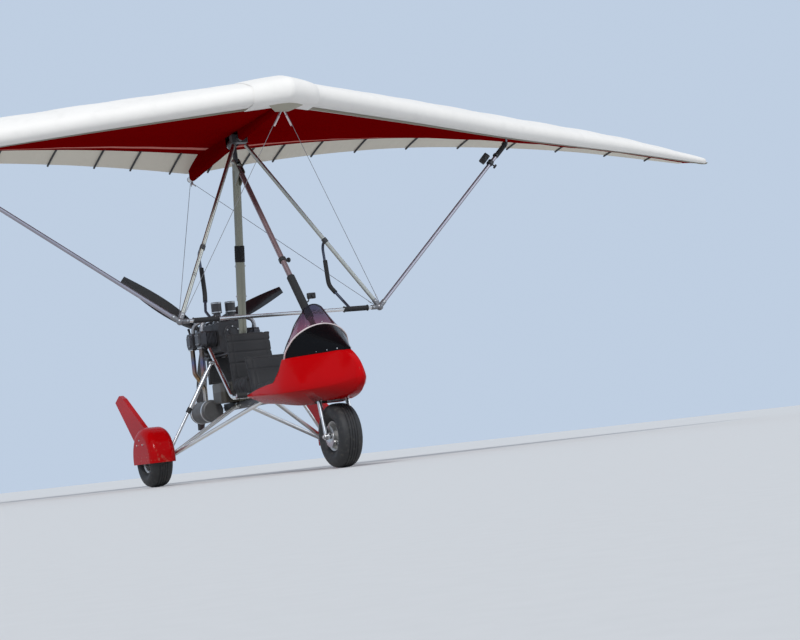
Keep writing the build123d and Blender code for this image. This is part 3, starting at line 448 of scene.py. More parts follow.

# %% [markdown]
# The control bar and uprights are polished tube. The bar's hand grips are foam, which the same tube wears between
# two distances from the middle, so one finish changes there. The uprights are a darker tone of the same tube as
# painted shade. The struts are bright alloy with dark sleeves at their ends. Their dark violet tone is painted shade
# and painted reflection.

# %% Polished tubes with sleeves
def polished(name, colour, rough, sleeve=None):
    """Bright drawn tube. A dark sleeve covers it between two distances from the aircraft's middle."""
    finish = Finish(name)
    cloud = finish.noise(6.0, 3.0)
    base = finish.mix(cloud, tint(colour, 0.88), tint(colour, 1.08))
    metallic, gloss = 1.0, rough + (cloud - 0.5) * 0.12
    if sleeve:
        low, high = sleeve
        out, edge = abs(finish.axis("X")), 0.001
        dark = finish.band(out, low - edge, low + edge) * (1 - finish.band(out, high - edge, high + edge))
        base = finish.mix(dark, base, (0.02, 0.02, 0.022, 1.0))
        metallic, gloss = 1 - dark, gloss + dark * 0.5
    relief = finish.bump(finish.noise(35.0, 2.0), 0.00001)
    return finish.shade(Base_Color=base, Metallic=metallic, Roughness=gloss, Normal=relief)


# Painted shade: the uprights' tone is darker than the bar's though they are the same tube.
finishes["upright_alloy"] = polished("upright_alloy", (0.42, 0.42, 0.38), 0.34)
finishes["bar_alloy"] = polished("bar_alloy", (0.74, 0.74, 0.74), 0.25, (0.523, 0.713))
# Painted shade and reflection: the struts' dark violet tone; the tube itself is silver alloy.
finishes["strut_alloy"] = polished("strut_alloy", (0.36, 0.345, 0.39), 0.36, (2.312, 2.444))

# %% [markdown]
# Each CAD node takes the finish that the record's slot names. Soft nodes take theirs later, from their own pieces.

# %% Dress the CAD nodes
def dress(node, material):
    """Gives a CAD node one material."""
    nodes[node].data.materials.clear()
    nodes[node].data.materials.append(material)


slot_of = {row["node"]: row["material_slot"] for row in frame["record"]["subparts"]}
for node, slot in slot_of.items():
    if slot in finishes:
        dress(node, finishes[slot])
print("dressed", sum(slot in finishes for slot in slot_of.values()), "of", len(slot_of), "nodes")

# %% [markdown]
# An operator acts on whatever is selected. A few short functions keep that under control: one picks a single piece,
# one copies it with a mesh of its own, and others open a piece for editing and close it again, smooth and outward.

# %% Picking, opening and closing a piece
def pick(piece):
    """Makes a piece the only one that is selected, and the active one."""
    clear_all()
    piece.select_set(True)
    bpy.context.view_layer.objects.active = piece


def twin(piece, name):
    """Copies a piece, with its own mesh."""
    pick(piece)
    bpy.ops.object.duplicate()
    bpy.context.object.name = name
    return bpy.context.object


def apply_all(piece):
    """Applies a piece's modifiers, in order."""
    pick(piece)
    for modifier in list(piece.modifiers):
        bpy.ops.object.modifier_apply(modifier=modifier.name)


def opened(piece):
    """Opens a piece for editing with everything selected."""
    pick(piece)
    bpy.ops.object.mode_set(mode="EDIT")
    bpy.ops.mesh.select_all(action="SELECT")
    return piece


def fresh(name):
    """Names the primitive that was just added and opens it for editing."""
    piece = bpy.context.object
    piece.name = piece.data.name = name
    return opened(piece)


def closed_up(piece, angle=35.0):
    """Points the faces outwards and shades the piece smooth up to an angle."""
    bpy.ops.mesh.select_all(action="SELECT")
    bpy.ops.mesh.normals_make_consistent(inside=False)
    bpy.ops.object.mode_set(mode="OBJECT")
    bpy.ops.object.shade_smooth_by_angle(angle=radians(angle))
    return piece


# %% [markdown]
# Most fittings on an aircraft like this are turned on a lathe, cut from plate or sawn from bar. A turned part starts
# as a circle primitive, whose ring is extruded and scaled from step to step of its outline. A plate starts as a
# filled circle with as many corners as the plate. A block starts as a cube that is sized, bevelled and recessed.

# %% Turned parts, plates and blocks
def mm(text):
    """Pairs of measures in metres, from text in millimetres such as 9.5,0 10.5,1."""
    return [tuple(float(number) / 1000 for number in pair.split(",")) for pair in text.split()]


def turned(name, rows, sides=28, solid=True):
    """A lathe part along Z, from rows of radius and height. One that isn't solid is a ring, closed on itself."""
    clear_all()
    radius, height = rows[0]
    bpy.ops.mesh.primitive_circle_add(vertices=sides, radius=radius, fill_type="NGON" if solid else "NOTHING")
    piece = fresh(name)
    bpy.ops.transform.translate(value=(0, 0, height))
    for next_radius, next_height in rows[1:]:
        rise = {"value": (0, 0, next_height - height)}
        if solid:
            bpy.ops.mesh.extrude_region_move(TRANSFORM_OT_translate=rise)
        else:
            bpy.ops.mesh.extrude_edges_move(TRANSFORM_OT_translate=rise)
        scale = next_radius / radius
        bpy.ops.transform.resize(value=(scale, scale, 1.0), center_override=(0, 0, next_height))
        radius, height = next_radius, next_height
    if not solid:
        bpy.ops.mesh.select_mode(type="EDGE")
        bpy.ops.mesh.select_all(action="DESELECT")
        bpy.ops.mesh.select_non_manifold()
        bpy.ops.mesh.bridge_edge_loops()
    return closed_up(piece)


def plate(name, outline, thickness, bevel=0.0):
    """A plate on the XY plane with a given outline, drawn anticlockwise."""
    clear_all()
    bpy.ops.mesh.primitive_circle_add(vertices=len(outline), radius=1, fill_type="NGON")
    for vertex, (x, y) in zip(bpy.context.object.data.vertices, outline):
        vertex.co = (x, y, 0)
    piece = fresh(name)
    bpy.ops.mesh.extrude_region_move(TRANSFORM_OT_translate={"value": (0, 0, thickness)})
    if bevel:
        bpy.ops.mesh.select_all(action="SELECT")
        bpy.ops.mesh.bevel(offset=bevel, segments=2, affect="EDGES")
    return closed_up(piece)


def block(name, size, bevel=0.002, recess=0.0):
    """A block round the origin with rounded edges and, where asked, a sunk top."""
    clear_all()
    bpy.ops.mesh.primitive_cube_add(size=1)
    piece = fresh(name)
    bpy.ops.transform.resize(value=size)
    bpy.ops.mesh.bevel(offset=bevel, segments=3, affect="EDGES")
    if recess:
        bpy.ops.mesh.select_mode(type="FACE")
        bpy.ops.mesh.select_all(action="DESELECT")
        shape = bmesh.from_edit_mesh(piece.data)
        max(shape.faces, key=lambda face: face.calc_center_median().z).select_set(True)
        bmesh.update_edit_mesh(piece.data)
        bpy.ops.mesh.inset(thickness=min(size[0], size[1]) * 0.12)
        bpy.ops.mesh.extrude_region_move(TRANSFORM_OT_translate={"value": (0, 0, -recess)})
    return closed_up(piece)


# %% [markdown]
# A part is modelled once at the origin. A placing says where it goes: a part stands with its Z along a direction, or
# is laid with its X along a tube. Copies are set down one by one, with the place applied to their meshes, and joined.

# %% Placing, copying and joining
def stand(origin, direction=(0, 0, 1), roll=0.0):
    """A placing that takes the origin to a place and turns Z to a direction, rolled about it."""
    turn = Vector((0.0, 0.0, 1.0)).rotation_difference(Vector(direction)).to_matrix().to_4x4()
    return Matrix.Translation(origin) @ turn @ Matrix.Rotation(roll, 4, "Z")


def lay(origin, along, out):
    """A placing with X along one direction and Y as near as can be to another."""
    x = Vector(along).normalized()
    z = x.cross(Vector(out)).normalized()
    placing = Matrix((x, z.cross(x), z)).transposed().to_4x4()
    placing.translation = origin
    return placing


def athwart(x):
    """A placing for an outline of aft and height, whose thickness then runs to port from a distance."""
    return Matrix(((0, 0, 1, x), (1, 0, 0, axle_y), (0, 1, 0, 0), (0, 0, 0, 1)))


def set_down(piece, placing):
    """Takes a piece to its place and applies the place to its mesh."""
    pick(piece)
    piece.matrix_world = placing
    bpy.ops.object.transform_apply(location=True, rotation=True, scale=True)
    return piece


def joined(name, pieces):
    """Joins pieces into one."""
    clear_all()
    for piece in pieces:
        piece.select_set(True)
    bpy.context.view_layer.objects.active = pieces[0]
    if len(pieces) > 1:
        bpy.ops.object.join()
    pieces[0].name = pieces[0].data.name = name
    return pieces[0]


def copies(model, placings):
    """Sets a modelled piece down at each place and joins the copies under its name."""
    name = model.name
    pieces = [set_down(twin(model, name), placing) for placing in placings]
    bpy.data.objects.remove(model)
    return joined(name, pieces)


def cut_by(piece, cutter):
    """Cuts a piece with another, which is used up."""
    knife = piece.modifiers.new("cut", "BOOLEAN")
    knife.operation = "DIFFERENCE"
    knife.solver = "EXACT"
    knife.object = cutter
    apply_all(piece)
    bpy.data.objects.remove(cutter)


def settle(piece, body, material=None):
    """A finished piece: one material, on its body."""
    if material:
        piece.data.materials.clear()
        piece.data.materials.append(material)
    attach(piece, body)


# %% [markdown]
# A bent tube, a bead or a hose is a NURBS path with a bevel, made a mesh at once. Its path comes from a few corners
# that are rounded off first.

# %% Tubes along a line
def softened(corners, reach=0.012, steps=4):
    """A line through places with its corners rounded off."""
    line = [corners[0]]
    for before, corner, after in zip(corners, corners[1:], corners[2:]):
        start = corner + (before - corner).normalized() * min(reach, (before - corner).length * 0.4)
        end = corner + (after - corner).normalized() * min(reach, (after - corner).length * 0.4)
        for i in range(steps + 1):
            s = i / steps
            line.append(start * (1 - s) ** 2 + corner * 2 * s * (1 - s) + end * s * s)
    return line + [corners[-1]]


def tube_along(name, points, radius, sides=12):
    """A round tube along a smooth path through places."""
    clear_all()
    bpy.ops.curve.primitive_nurbs_path_add(enter_editmode=False, location=(0, 0, 0))
    curve = bpy.context.object
    curve.name = name
    curve.data.splines.remove(curve.data.splines[0])
    line = curve.data.splines.new("NURBS")
    line.points.add(len(points) - 1)
    for knot, place in zip(line.points, points):
        knot.co = (*place, 1.0)
    line.order_u = 3
    line.use_endpoint_u = True
    curve.data.resolution_u = 5
    curve.data.bevel_depth = radius
    curve.data.bevel_resolution = sides // 4
    curve.data.use_fill_caps = True
    bpy.ops.object.convert(target="MESH")
    bpy.ops.object.shade_smooth_by_angle(angle=radians(50))
    return bpy.context.object


# %% [markdown]
# Every bolt shows a six-sided nut with a bit of thread, on a round washer. One is modelled here. Each set of bolts
# copies it at its own size, turning it a little more every time as hand-tightened nuts are.

# %% Nuts and washers
steel = metal("bright_fastener", (0.62, 0.62, 0.62), 0.3)
nut_rows = mm("9.5,0 10.5,1 10.5,6.5 9.2,7.8 6,7.8 5.5,11")
washer_rows = mm("12.2,-1.5 12.8,-1 12.8,0 11.8,0.4")
nut = joined("nut", [turned("nut", nut_rows, 6), turned("washer", washer_rows, 24)])
print("nut and washer", len(nut.data.polygons), "faces")


def fasteners(name, places, body, size):
    """Nuts on washers at places, each with its direction, as one piece."""
    scale = Matrix.Diagonal((size, size, size, 1.0))
    placings = [stand(origin, way, 0.5 * k) @ scale for k, (origin, way) in enumerate(places)]
    settle(copies(twin(nut, name), placings), body, steel)
    print(name, len(places))


def pair(x, aft, z):
    """A place on each side of the trike, facing outwards."""
    return [(at(side * x, aft, z), (side, 0, 0)) for side in (-1, 1)]


def bolt_ring(radius, aft, z, angles, face):
    """Places round a line that runs fore and aft, all facing back, or forwards where face is -1."""
    turns = [radians(angle) for angle in angles]
    return [(at(radius * cos(turn), aft, z + radius * sin(turn)), (0, face, 0)) for turn in turns]


# %% [markdown]
# Sail cloth is a tight coated weave. Its bump is two crossing sets of fine threads with a little unevenness, and
# dirt gathers faintly. The white nose band and top and the red undersurface are separate panels on the real wing,
# so here they are separate finishes. The red is the cloth's crimson made darker as painted shade under the wing,
# and the keel pocket's copy is darker still. The cream finish is painted light, for the top cloth's inside lit
# through.

# %% Sail cloth
def sail_cloth(name, colour, soil, rough=0.5, sheen=0.06, stripe=None):
    """Coated cloth. A stripe is the band of the cloth's own V coordinate that is paler, such as a hem."""
    finish = Finish(name)
    own = finish.add("ShaderNodeTexCoord", output="UV")
    across, along = finish.axis("X", own), finish.axis("Y", own)
    cloud = finish.noise(1.7, 5.0)
    weave = finish.noise(700.0, 2.0)
    crease = finish.noise(5.0, 4.0, (2.2, 0.6, 1.0))
    base = finish.mix(cloud, tint(colour, 0.94), tint(colour, 1.03))
    dirty = finish.band(finish.noise(8.0, 7.0), 0.52, 0.85) * soil
    base = finish.mix(dirty, base, tint((c * 0.6 + 0.004 for c in colour)))
    if stripe:
        low, high, pale = stripe
        hem = finish.band(along, low, low + 0.004) * (1 - finish.band(along, high, high + 0.004))
        base = finish.mix(hem, base, tint(pale))
    seam = abs(finish.add("ShaderNodeMath", {"operation": "PINGPONG"}, {0: across, 1: 0.5}) - 0.25)
    stitch = finish.band(seam, 0.0, 0.006)
    relief = weave * 0.15 + crease * 6.0 + stitch * 0.5
    return finish.shade(
        Base_Color=base,
        Roughness=rough + (weave - 0.5) * 0.1 + dirty * 0.15,
        Specular_IOR_Level=sheen,
        Normal=finish.bump(relief, 0.001),
    )


white_cloth = sail_cloth("white_cloth", (0.84, 0.825, 0.79), 0.16)
# Painted light: this cream stands for the white top cloth lit through from above, seen from below.
lit_through_cloth = sail_cloth("lit_through_cloth", (0.74, 0.70, 0.60), 0.2)
# Painted shade: the undersurface's red is darker than the real crimson cloth, and the pocket's red darker again.
shaded_red_cloth = sail_cloth("shaded_red_cloth", (0.19, 0.0005, 0.001), 0.12, 0.75, 0.0, (0.85, 0.90, (0.60, 0.20, 0.17)))
shaded_pocket_red = sail_cloth("shaded_pocket_red", (0.13, 0.0004, 0.0008), 0.12, 0.75, 0.0)
band_grey = sail_cloth("band_grey", (0.27, 0.25, 0.19), 0.2)
apron_cloth = sail_cloth("apron_cloth", (0.42, 0.40, 0.33), 0.2)
seat_cover = plastic("seat_cover", (0.018, 0.018, 0.02), 0.75, 900.0, 0.0004)

# %% [markdown]
# A wing rib is drawn by the same few numbers as in CAD: where it stands, its height, chord, depth, nose and washout.
# A function gives any rib between them, with smooth curves through the five, so that the leading edge and the twist
# run as fair lines from the keel to the tip. The rib's outline is a round nose between two large arcs.

# %% The wing's ribs
ribs = (
    (0.0253, 0.125, 2.300, 0.262, 0.072, 1.8),
    (1.250, 0.091, 1.900, 0.240, 0.070, 8.0),
    (2.452, 0.057, 1.500, 0.205, 0.066, 13.6),
    (4.000, 0.066, 1.000, 0.140, 0.048, 17.0),
    (5.180, 0.062, 0.500, 0.060, 0.026, 17.0),
)
nose_fwd = 1.273
sweep = tan(radians(23.0))
crest = 0.26
hem = 0.86
seam_lap = 0.03


def rib_at(out):
    """Height, chord, depth, nose radius and washout of the rib at a distance from the keel."""
    return fair(ribs, out)


def seam_run(chord):
    """How far behind the nose the seam under it lies, before any lap."""
    return 0.19 * chord / 2.3


def rear_rise(chord, depth, run):
    """Height of the arc from the crest to the trailing edge, at a distance behind the nose."""
    top = crest * chord
    rear_r = ((chord - top) ** 2 + depth ** 2) / (2 * depth)
    return depth - rear_r + sqrt(max(0.0, rear_r ** 2 - (run - top) ** 2))


def rib_profile(out, rows_back=26, rows_brow=12, rows_nose=9, rows_under=4):
    """Points of the top cloth in a rib's plane, from the trailing edge over the nose to the seam underneath."""
    low, chord, depth, nose_r, washout = rib_at(out)
    top = crest * chord
    slope = radians(28)
    brow = (nose_r * (1 - sin(slope)), nose_r * (1 + cos(slope)))
    rise = depth - brow[1]
    front_r = ((top - brow[0]) ** 2 + rise ** 2) / (2 * rise)
    points = []
    for i in range(rows_back):
        run = chord + (top - chord) * i / rows_back
        points.append((run, rear_rise(chord, depth, run)))
    for i in range(rows_brow):
        run = top + (brow[0] - top) * i / rows_brow
        points.append((run, depth - front_r + sqrt(front_r ** 2 - (top - run) ** 2)))
    for i in range(rows_nose + 1):
        angle = radians(118) + radians(152) * i / rows_nose
        points.append((nose_r + nose_r * cos(angle), nose_r + nose_r * sin(angle)))
    end = seam_run(chord) + 0.05
    for i in range(1, rows_under + 1):
        points.append((nose_r + (end - nose_r) * i / rows_under, 0.0))
    return points


def in_rib(side, out, run, rise):
    """A point of a rib's plane in the shared frame."""
    low, chord, depth, nose_r, washout = rib_at(out)
    turn = radians(washout)
    aft = wing_aft * cos(turn) + wing_up * sin(turn)
    up = wing_up * cos(turn) - wing_aft * sin(turn)
    return on_wing(side * out, -nose_fwd + out * sweep, low) + aft * run + up * rise


print("rib at the strut", [round(v, 3) for v in rib_at(2.452)])

# %% [markdown]
# A sail is cut from flat panels and pulled into shape by its ribs, here called battens. A grid primitive is the
# natural start: each of its vertices is taken to the sail's surface. A sheet is measured while it is still one layer,
# and then gets its wall and its finishes.

# %% Cloth grids
cloth_t = 0.001


def cloth_grid(name, columns, rows, surface):
    """A sheet of cloth: a grid whose vertices go to a surface, given by the numbers of column and row."""
    clear_all()
    bpy.ops.mesh.primitive_grid_add(x_subdivisions=columns, y_subdivisions=rows, size=2)
    cloth = bpy.context.object
    cloth.name = name
    for vertex in cloth.data.vertices:
        column = round((vertex.co.x + 1) / 2 * columns)
        row = round((vertex.co.y + 1) / 2 * rows)
        vertex.co = surface(column, row)
    return cloth


def turned_over(cloth):
    """Flips a sheet's faces, for the half that is mirrored."""
    opened(cloth)
    bpy.ops.mesh.flip_normals()
    bpy.ops.object.mode_set(mode="OBJECT")


def walled(piece, outer, inner, thickness, angle=60.0):
    """Gives a sheet its thickness, smooth shading and a material for each side."""
    piece.data.materials.append(outer)
    piece.data.materials.append(inner)
    wall = piece.modifiers.new("wall", "SOLIDIFY")
    wall.thickness = thickness
    wall.offset = -1.0
    wall.material_offset = 1
    wall.material_offset_rim = 0
    apply_all(piece)
    bpy.ops.object.shade_smooth_by_angle(angle=radians(angle))


def finish_cloth(cloth, outer, inner, thickness=cloth_t):
    """Measures a sheet of the wing, gives it its wall and finishes and puts it on the wing."""
    print(cloth.name, round(sum(face.area for face in cloth.data.polygons), 3), "square metres")
    walled(cloth, outer, inner, thickness)
    settle(cloth, "wing")


# %% [markdown]
# Columns of the sail's grids crowd at each batten, where the cloth lies over a pocket. Between battens the cloth
# lifts a little and its trailing edge draws forward. In the last centimetres before the tip it folds flat.

# %% Battens and folds
battens = (0.17, 0.5, 0.8, 1.18, 1.62, 2.15, 2.7, 3.25, 3.8, 4.35, 4.8)
batten_r = 0.0085
between = 6
tip = ribs[-1][0]
stops = (0.0,) + battens + (tip,)
stations = [0.0, 0.03]
for near, far in zip(stops, stops[1:]):
    first = near + (0.012 if near else 0.06)
    last = far - (0.012 if far < tip else 0.045)
    stations += [first + (last - first) * i / (between - 1) for i in range(between)]
    stations += [far - 0.005, far + 0.005] if far < tip else [tip - 0.02, tip - 0.007, tip]
spans = [-s for s in reversed(stations[1:])] + stations
print("cloth columns", len(spans) - 1)


def lift_between(out):
    """How much the cloth lifts at a place: 0 at battens, most midway, and more in a wider gap."""
    for near, far in zip(stops, stops[1:]):
        if near <= out <= far:
            share = (out - near) / (far - near)
            return 4 * share * (1 - share) * (far - near) / 0.5
    return 0.0


def over_batten(out):
    """1 over a batten's pocket and 0 beside it."""
    return float(any(abs(out - b) < 0.006 for b in battens))


def tip_fold(out, width=0.045):
    """The share of its depth that the wing keeps near the tip, and how far into the fold a place is."""
    share = max(0.0, (out - tip + width) / width)
    return 0.15 + 0.85 * sqrt(max(0.0, 1 - share ** 2)), share


def folded_rise(out, run, rise):
    """A height in a rib's plane, drawn in to the middle of the depth where the tip folds."""
    low, chord, depth, nose_r, washout = rib_at(out)
    middle = nose_r * 0.9 * (1 - run / chord)
    return middle + (rise - middle) * tip_fold(out)[0]


# %% [markdown]
# The top cloth is one sheet from tip to tip. It starts at a seam under the nose, wraps the leading edge and runs
# back over the battens to the trailing edge. Its outside is white. Its inside, which shows from below behind the
# undersurface, is painted light: a cream that stands for sunlight shining through the cloth. The first numbers are
# its lift between battens, the height of a batten's pocket and how far the tip is drawn back.

# %% Top cloth
profiles = {}
billow = 0.010
pocket_t = 0.0022
tip_rake = 0.05


def top_place(column, row):
    """A place of the top cloth."""
    span = spans[column]
    out, side = abs(span), (1 if span >= 0 else -1)
    if out not in profiles:
        profiles[out] = list(reversed(rib_profile(out)))
    run, rise = profiles[out][row]
    low, chord, depth, nose_r, washout = rib_at(out)
    keep, share = tip_fold(out)
    back = max(0.0, run / chord)
    lift = billow * lift_between(out)
    if rise > nose_r:
        rise += lift * sin(pi * min(1.0, back)) ** 0.7 + pocket_t * over_batten(out) * min(1.0, back * 8)
    run -= lift * max(0.0, back - 0.9) * 10
    middle = nose_r * 0.9 * (1 - back)
    return in_rib(side, out, run + tip_rake * share * share * (1 - back), middle + (rise - middle) * keep)


top_sail = cloth_grid("top_sail", len(spans) - 1, len(rib_profile(1.0)) - 1, top_place)
finish_cloth(top_sail, white_cloth, lit_through_cloth)
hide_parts("sail_starboard", "sail_port")

# %% [markdown]
# The red undersurface closes the front of each half, from the seam under the nose to a hem line. It hangs a little
# slack between the battens, so it bows down where nothing holds it. Small gaps keep it off the top cloth.

# %% Undersurfaces
front_gap, hem_gap = 0.003, 0.006


def under_sheet(side, name, rows=22):
    """One half's undersurface."""
    half = stations[1:]

    def place(column, row):
        out = half[column]
        low, chord, depth, nose_r, washout = rib_at(out)
        share = row / rows
        back, front = hem * chord, seam_run(chord) + seam_lap
        run = front + (back - front) * share
        hem_rise = rear_rise(chord, depth, back) - hem_gap
        rise = front_gap + (hem_rise - front_gap) * max(0.0, run - nose_r) / (back - nose_r)
        ripple = noise.noise(Vector((out * 1.7, share * 3.1, 4.0 * side))) * 0.006
        rise -= sin(pi * share) ** 0.8 * (0.004 + 0.007 * lift_between(out) + ripple)
        return in_rib(side, out, run, folded_rise(out, run, rise))

    cloth = cloth_grid(name, len(half) - 1, rows, place)
    if side > 0:
        turned_over(cloth)
    finish_cloth(cloth, shaded_red_cloth, shaded_red_cloth)


under_sheet(-1, "under_sail_starboard")
under_sheet(1, "under_sail_port")

# %% [markdown]
# Where the undersurface meets the white leading edge a webbing band covers the seam. From in front it is the grey
# line under the white, and it runs from the nose to the tip. It is a strip of cloth in a curve that follows the seam.

# %% Seam bands
def seam_band(side, name, width=0.062, rows=6):
    """The band under one half's seam."""
    half = stations[2:]

    def place(column, row):
        out = half[column]
        low, chord, depth, nose_r, washout = rib_at(out)
        run = seam_run(chord) + seam_lap - width * (1 - row / rows)
        rise = nose_r - sqrt(nose_r ** 2 - max(0.0, nose_r - run) ** 2) - 0.004
        return in_rib(side, out, run, folded_rise(out, run, rise))

    band = cloth_grid(name, len(half) - 1, rows, place)
    if side > 0:
        turned_over(band)
    finish_cloth(band, band_grey, band_grey)


seam_band(-1, "seam_band_starboard")
seam_band(1, "seam_band_port")

# %% [markdown]
# Each batten is a thin tube in a pocket. From below its dark line crosses the trailing part, and its plugged tip
# stands a little proud of the trailing edge.

# %% Battens
batten_drop = 0.0065


def batten_line(side, out):
    """Places along the part of a batten that shows from below."""
    low, chord, depth, nose_r, washout = rib_at(out)
    runs = [chord * (hem - 0.03) + (chord * (1.03 - hem) + 0.012) * i / 6 for i in range(7)]
    return [in_rib(side, out, run, rear_rise(chord, depth, run) - batten_drop) for run in runs]


batten_tubes = [tube_along("batten", batten_line(side, out), batten_r, 10) for side in (-1, 1) for out in battens]
settle(joined("battens", batten_tubes), "wing", plastic("batten_carbon", (0.02, 0.02, 0.022), 0.5))
print("battens", len(batten_tubes))

# %% [markdown]
# Under the middle of the wing the keel tube runs in a red pocket that hangs from the sail. It is a sheet folded
# round the tube like a letter U, with a gap where the hang block and the control frame's apex reach the keel.

# %% Keel pocket
def centre_height(y):
    """Height of the sail's lower side over the keel, in the wing's own axes, at a place along it."""
    low, chord, depth, nose_r, washout = rib_at(0.0)
    run, back = y + nose_fwd, hem * chord
    if run < back:
        rise = rear_rise(chord, depth, back) * max(0.0, run - nose_r) / (back - nose_r)
    else:
        rise = rear_rise(chord, depth, run)
    return low + rise + run * sin(radians(washout)) + 0.003


def pocket_sheet(name, start, end, columns=40, rows=20, wall_rows=4):
    """A U of cloth round the keel between two places along it."""
    round_r = keel_r + 0.0035

    def place(column, row):
        y = start + (end - start) * column / columns
        side = -1 if row < rows / 2 else 1
        down = min(row, rows - row)
        high = max(centre_height(y), keel_up + 0.004)
        sag = 0.002 * sin(9 * y) + 0.0015 * sin(23 * y + row)
        if down <= wall_rows:
            rise = high + (keel_up - high) * down / wall_rows
            return on_wing(side * (round_r + sag * 0.5), y, rise)
        angle = (down - wall_rows) / (rows / 2 - wall_rows) * pi / 2
        return on_wing(side * round_r * cos(angle), y, keel_up - (round_r + 0.001 + sag * 0.4) * sin(angle))

    return cloth_grid(name, columns, rows, place)


front_pocket = pocket_sheet("keel_pocket_front", -0.93, -0.185)
rear_pocket = pocket_sheet("keel_pocket_rear", 0.085, 0.985)
for cloth, cut_size, area in ((front_pocket, (0.76, 0.20), 0.117), (rear_pocket, (0.91, 0.34), 0.272)):
    finish_cloth(cloth, shaded_pocket_red, shaded_pocket_red)
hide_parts("keel_pocket")

# %% [markdown]
# Over the nose, where the two leading edges meet, a padded white cap is laced on. It is a small sheet that stands
# proud of the top cloth, highest at the middle and down to the cloth at its edges. It runs from the row of a rib's
# outline that lies just ahead of the crest to the seam under the nose.

# %% Nose cap
cap_rows, cap_half = 24, 0.26
cap_start = 28
cap_edge, cap_height = 0.003, 0.022


def cap_place(column, row):
    """A place of the nose cap, which follows the middle rib and stands off it."""
    span = (column / cap_rows * 2 - 1) * cap_half
    points = rib_profile(max(abs(span), ribs[0][0]))[cap_start:]
    share = row / cap_rows * (len(points) - 1)
    k = min(int(share), len(points) - 2)
    part = share - k
    (run, rise), (next_run, next_rise) = points[k], points[k + 1]
    along = Vector((0.0, next_run - run, next_rise - rise)).normalized()
    edge = (1 - (span / cap_half) ** 2) * sin(pi * (row / cap_rows))
    proud = cap_edge + cap_height * max(0.0, edge) ** 0.6
    run = run * (1 - part) + next_run * part + along.z * proud
    rise = rise * (1 - part) + next_rise * part - along.y * proud
    return in_rib(1 if span >= 0 else -1, abs(span), run, rise)


nose_cap = cloth_grid("nose_cap", cap_rows, cap_rows, cap_place)
finish_cloth(nose_cap, white_cloth, white_cloth, thickness=0.002)

# %% [markdown]
# Below the nose cap hangs a grey apron that hides the nose plate from in front. It is a small sheet sewn to the cap
# along its upper edge and drawn back to the plate.

# %% Nose apron
apron_columns, apron_rows = 12, 8
upper_half, lower_half = 0.165, 0.055


def apron_place(column, row):
    """A place of the apron, from its upper edge down and back."""
    u, v = 2 * column / apron_columns - 1, row / apron_rows
    x = u * (upper_half + (lower_half - upper_half) * v)
    y = -1.205 + 0.125 * v + 0.050 * u * u
    return on_wing(x, y, 0.1195 - 0.045 * v ** 0.8 * (1 - 0.35 * u * u))


apron = cloth_grid("nose_apron", apron_columns, apron_rows, apron_place)
finish_cloth(apron, apron_cloth, apron_cloth)

# %% [markdown]
# The pod is a thin moulded shell. The CAD model gives its sections with straight runs between them, and the real
# mould is fair with softened creases. So the shell is lofted again here through the same sections, walled with
# Solidify and cut by the same openings: the cockpit's sides, the top under the hood and the well round the fork.

# %% Pod shell
pod_sections = (
    (-2.290, 0.014, 0.588, 0.026, 0.624, 0.014, 0.672),
    (-2.210, 0.028, 0.540, 0.062, 0.608, 0.022, 0.752),
    (-2.080, 0.056, 0.508, 0.118, 0.592, 0.032, 0.826),
    (-1.900, 0.092, 0.491, 0.196, 0.582, 0.110, 0.830),
    (-1.700, 0.126, 0.482, 0.276, 0.580, 0.188, 0.830),
    (-1.500, 0.158, 0.481, 0.320, 0.580, 0.252, 0.830),
    (-1.100, 0.166, 0.520, 0.312, 0.594, 0.268, 0.830),
    (-0.800, 0.150, 0.541, 0.286, 0.606, 0.252, 0.830),
)
pod_nose = pod_sections[0][0]
pod_nose_z, pod_nose_run = 0.630, 0.035
pod_wall = 0.005
pod_aft = [-2.290, -2.2885, -2.285, -2.279, -2.271, -2.262, -2.25]
pod_aft += [-2.23 + 0.03 * i for i in range(15)] + [-1.79 + 0.045 * i for i in range(23)]


def pod_half(aft):
    """Half of the pod's outline at a place, from the floor's middle up the side to the deck's middle."""
    floor_w, floor_z, crease_w, crease_z, edge_w, edge_z = fair(pod_sections, aft)
    belly = 2 * (edge_w * 0.35 + crease_w * 0.65) - (crease_w + edge_w) / 2
    corners = [Vector((0, floor_z)), Vector((floor_w, floor_z)), Vector((crease_w, crease_z))]
    for i in range(1, 9):
        s = i / 8
        x = crease_w * (1 - s) ** 2 + belly * 2 * s * (1 - s) + edge_w * s * s
        corners.append(Vector((x, crease_z + (edge_z - crease_z) * s)))
    for i in range(1, 5):
        left = 1 - i / 4
        corners.append(Vector((edge_w * left, edge_z + edge_w * 0.12 * (1 - left ** 2))))
    return softened(corners, 0.010, 2)


def pod_side(aft, z):
    """Half the pod's width at a place and height above the crease."""
    line = [v for v in pod_half(aft) if v.y > fair(pod_sections, aft)[3]]
    for low, high in zip(line, line[1:]):
        if low.y <= z <= high.y:
            return low.x + (high.x - low.x) * (z - low.y) / (high.y - low.y)
    return line[0].x


def pod_place(column, row):
    """A place of the pod's skin, drawn together at the nose."""
    aft = pod_aft[column]
    half = pod_half(aft)
    side = 1 if row < len(half) else -1
    x, z = half[row] if row < len(half) else half[2 * len(half) - 1 - row]
    share = min(1.0, (aft - pod_nose) / pod_nose_run)
    round_off = 0.02 + 0.98 * sqrt(1 - (1 - share) ** 2)
    return at(side * x * round_off, aft, pod_nose_z + (z - pod_nose_z) * round_off)


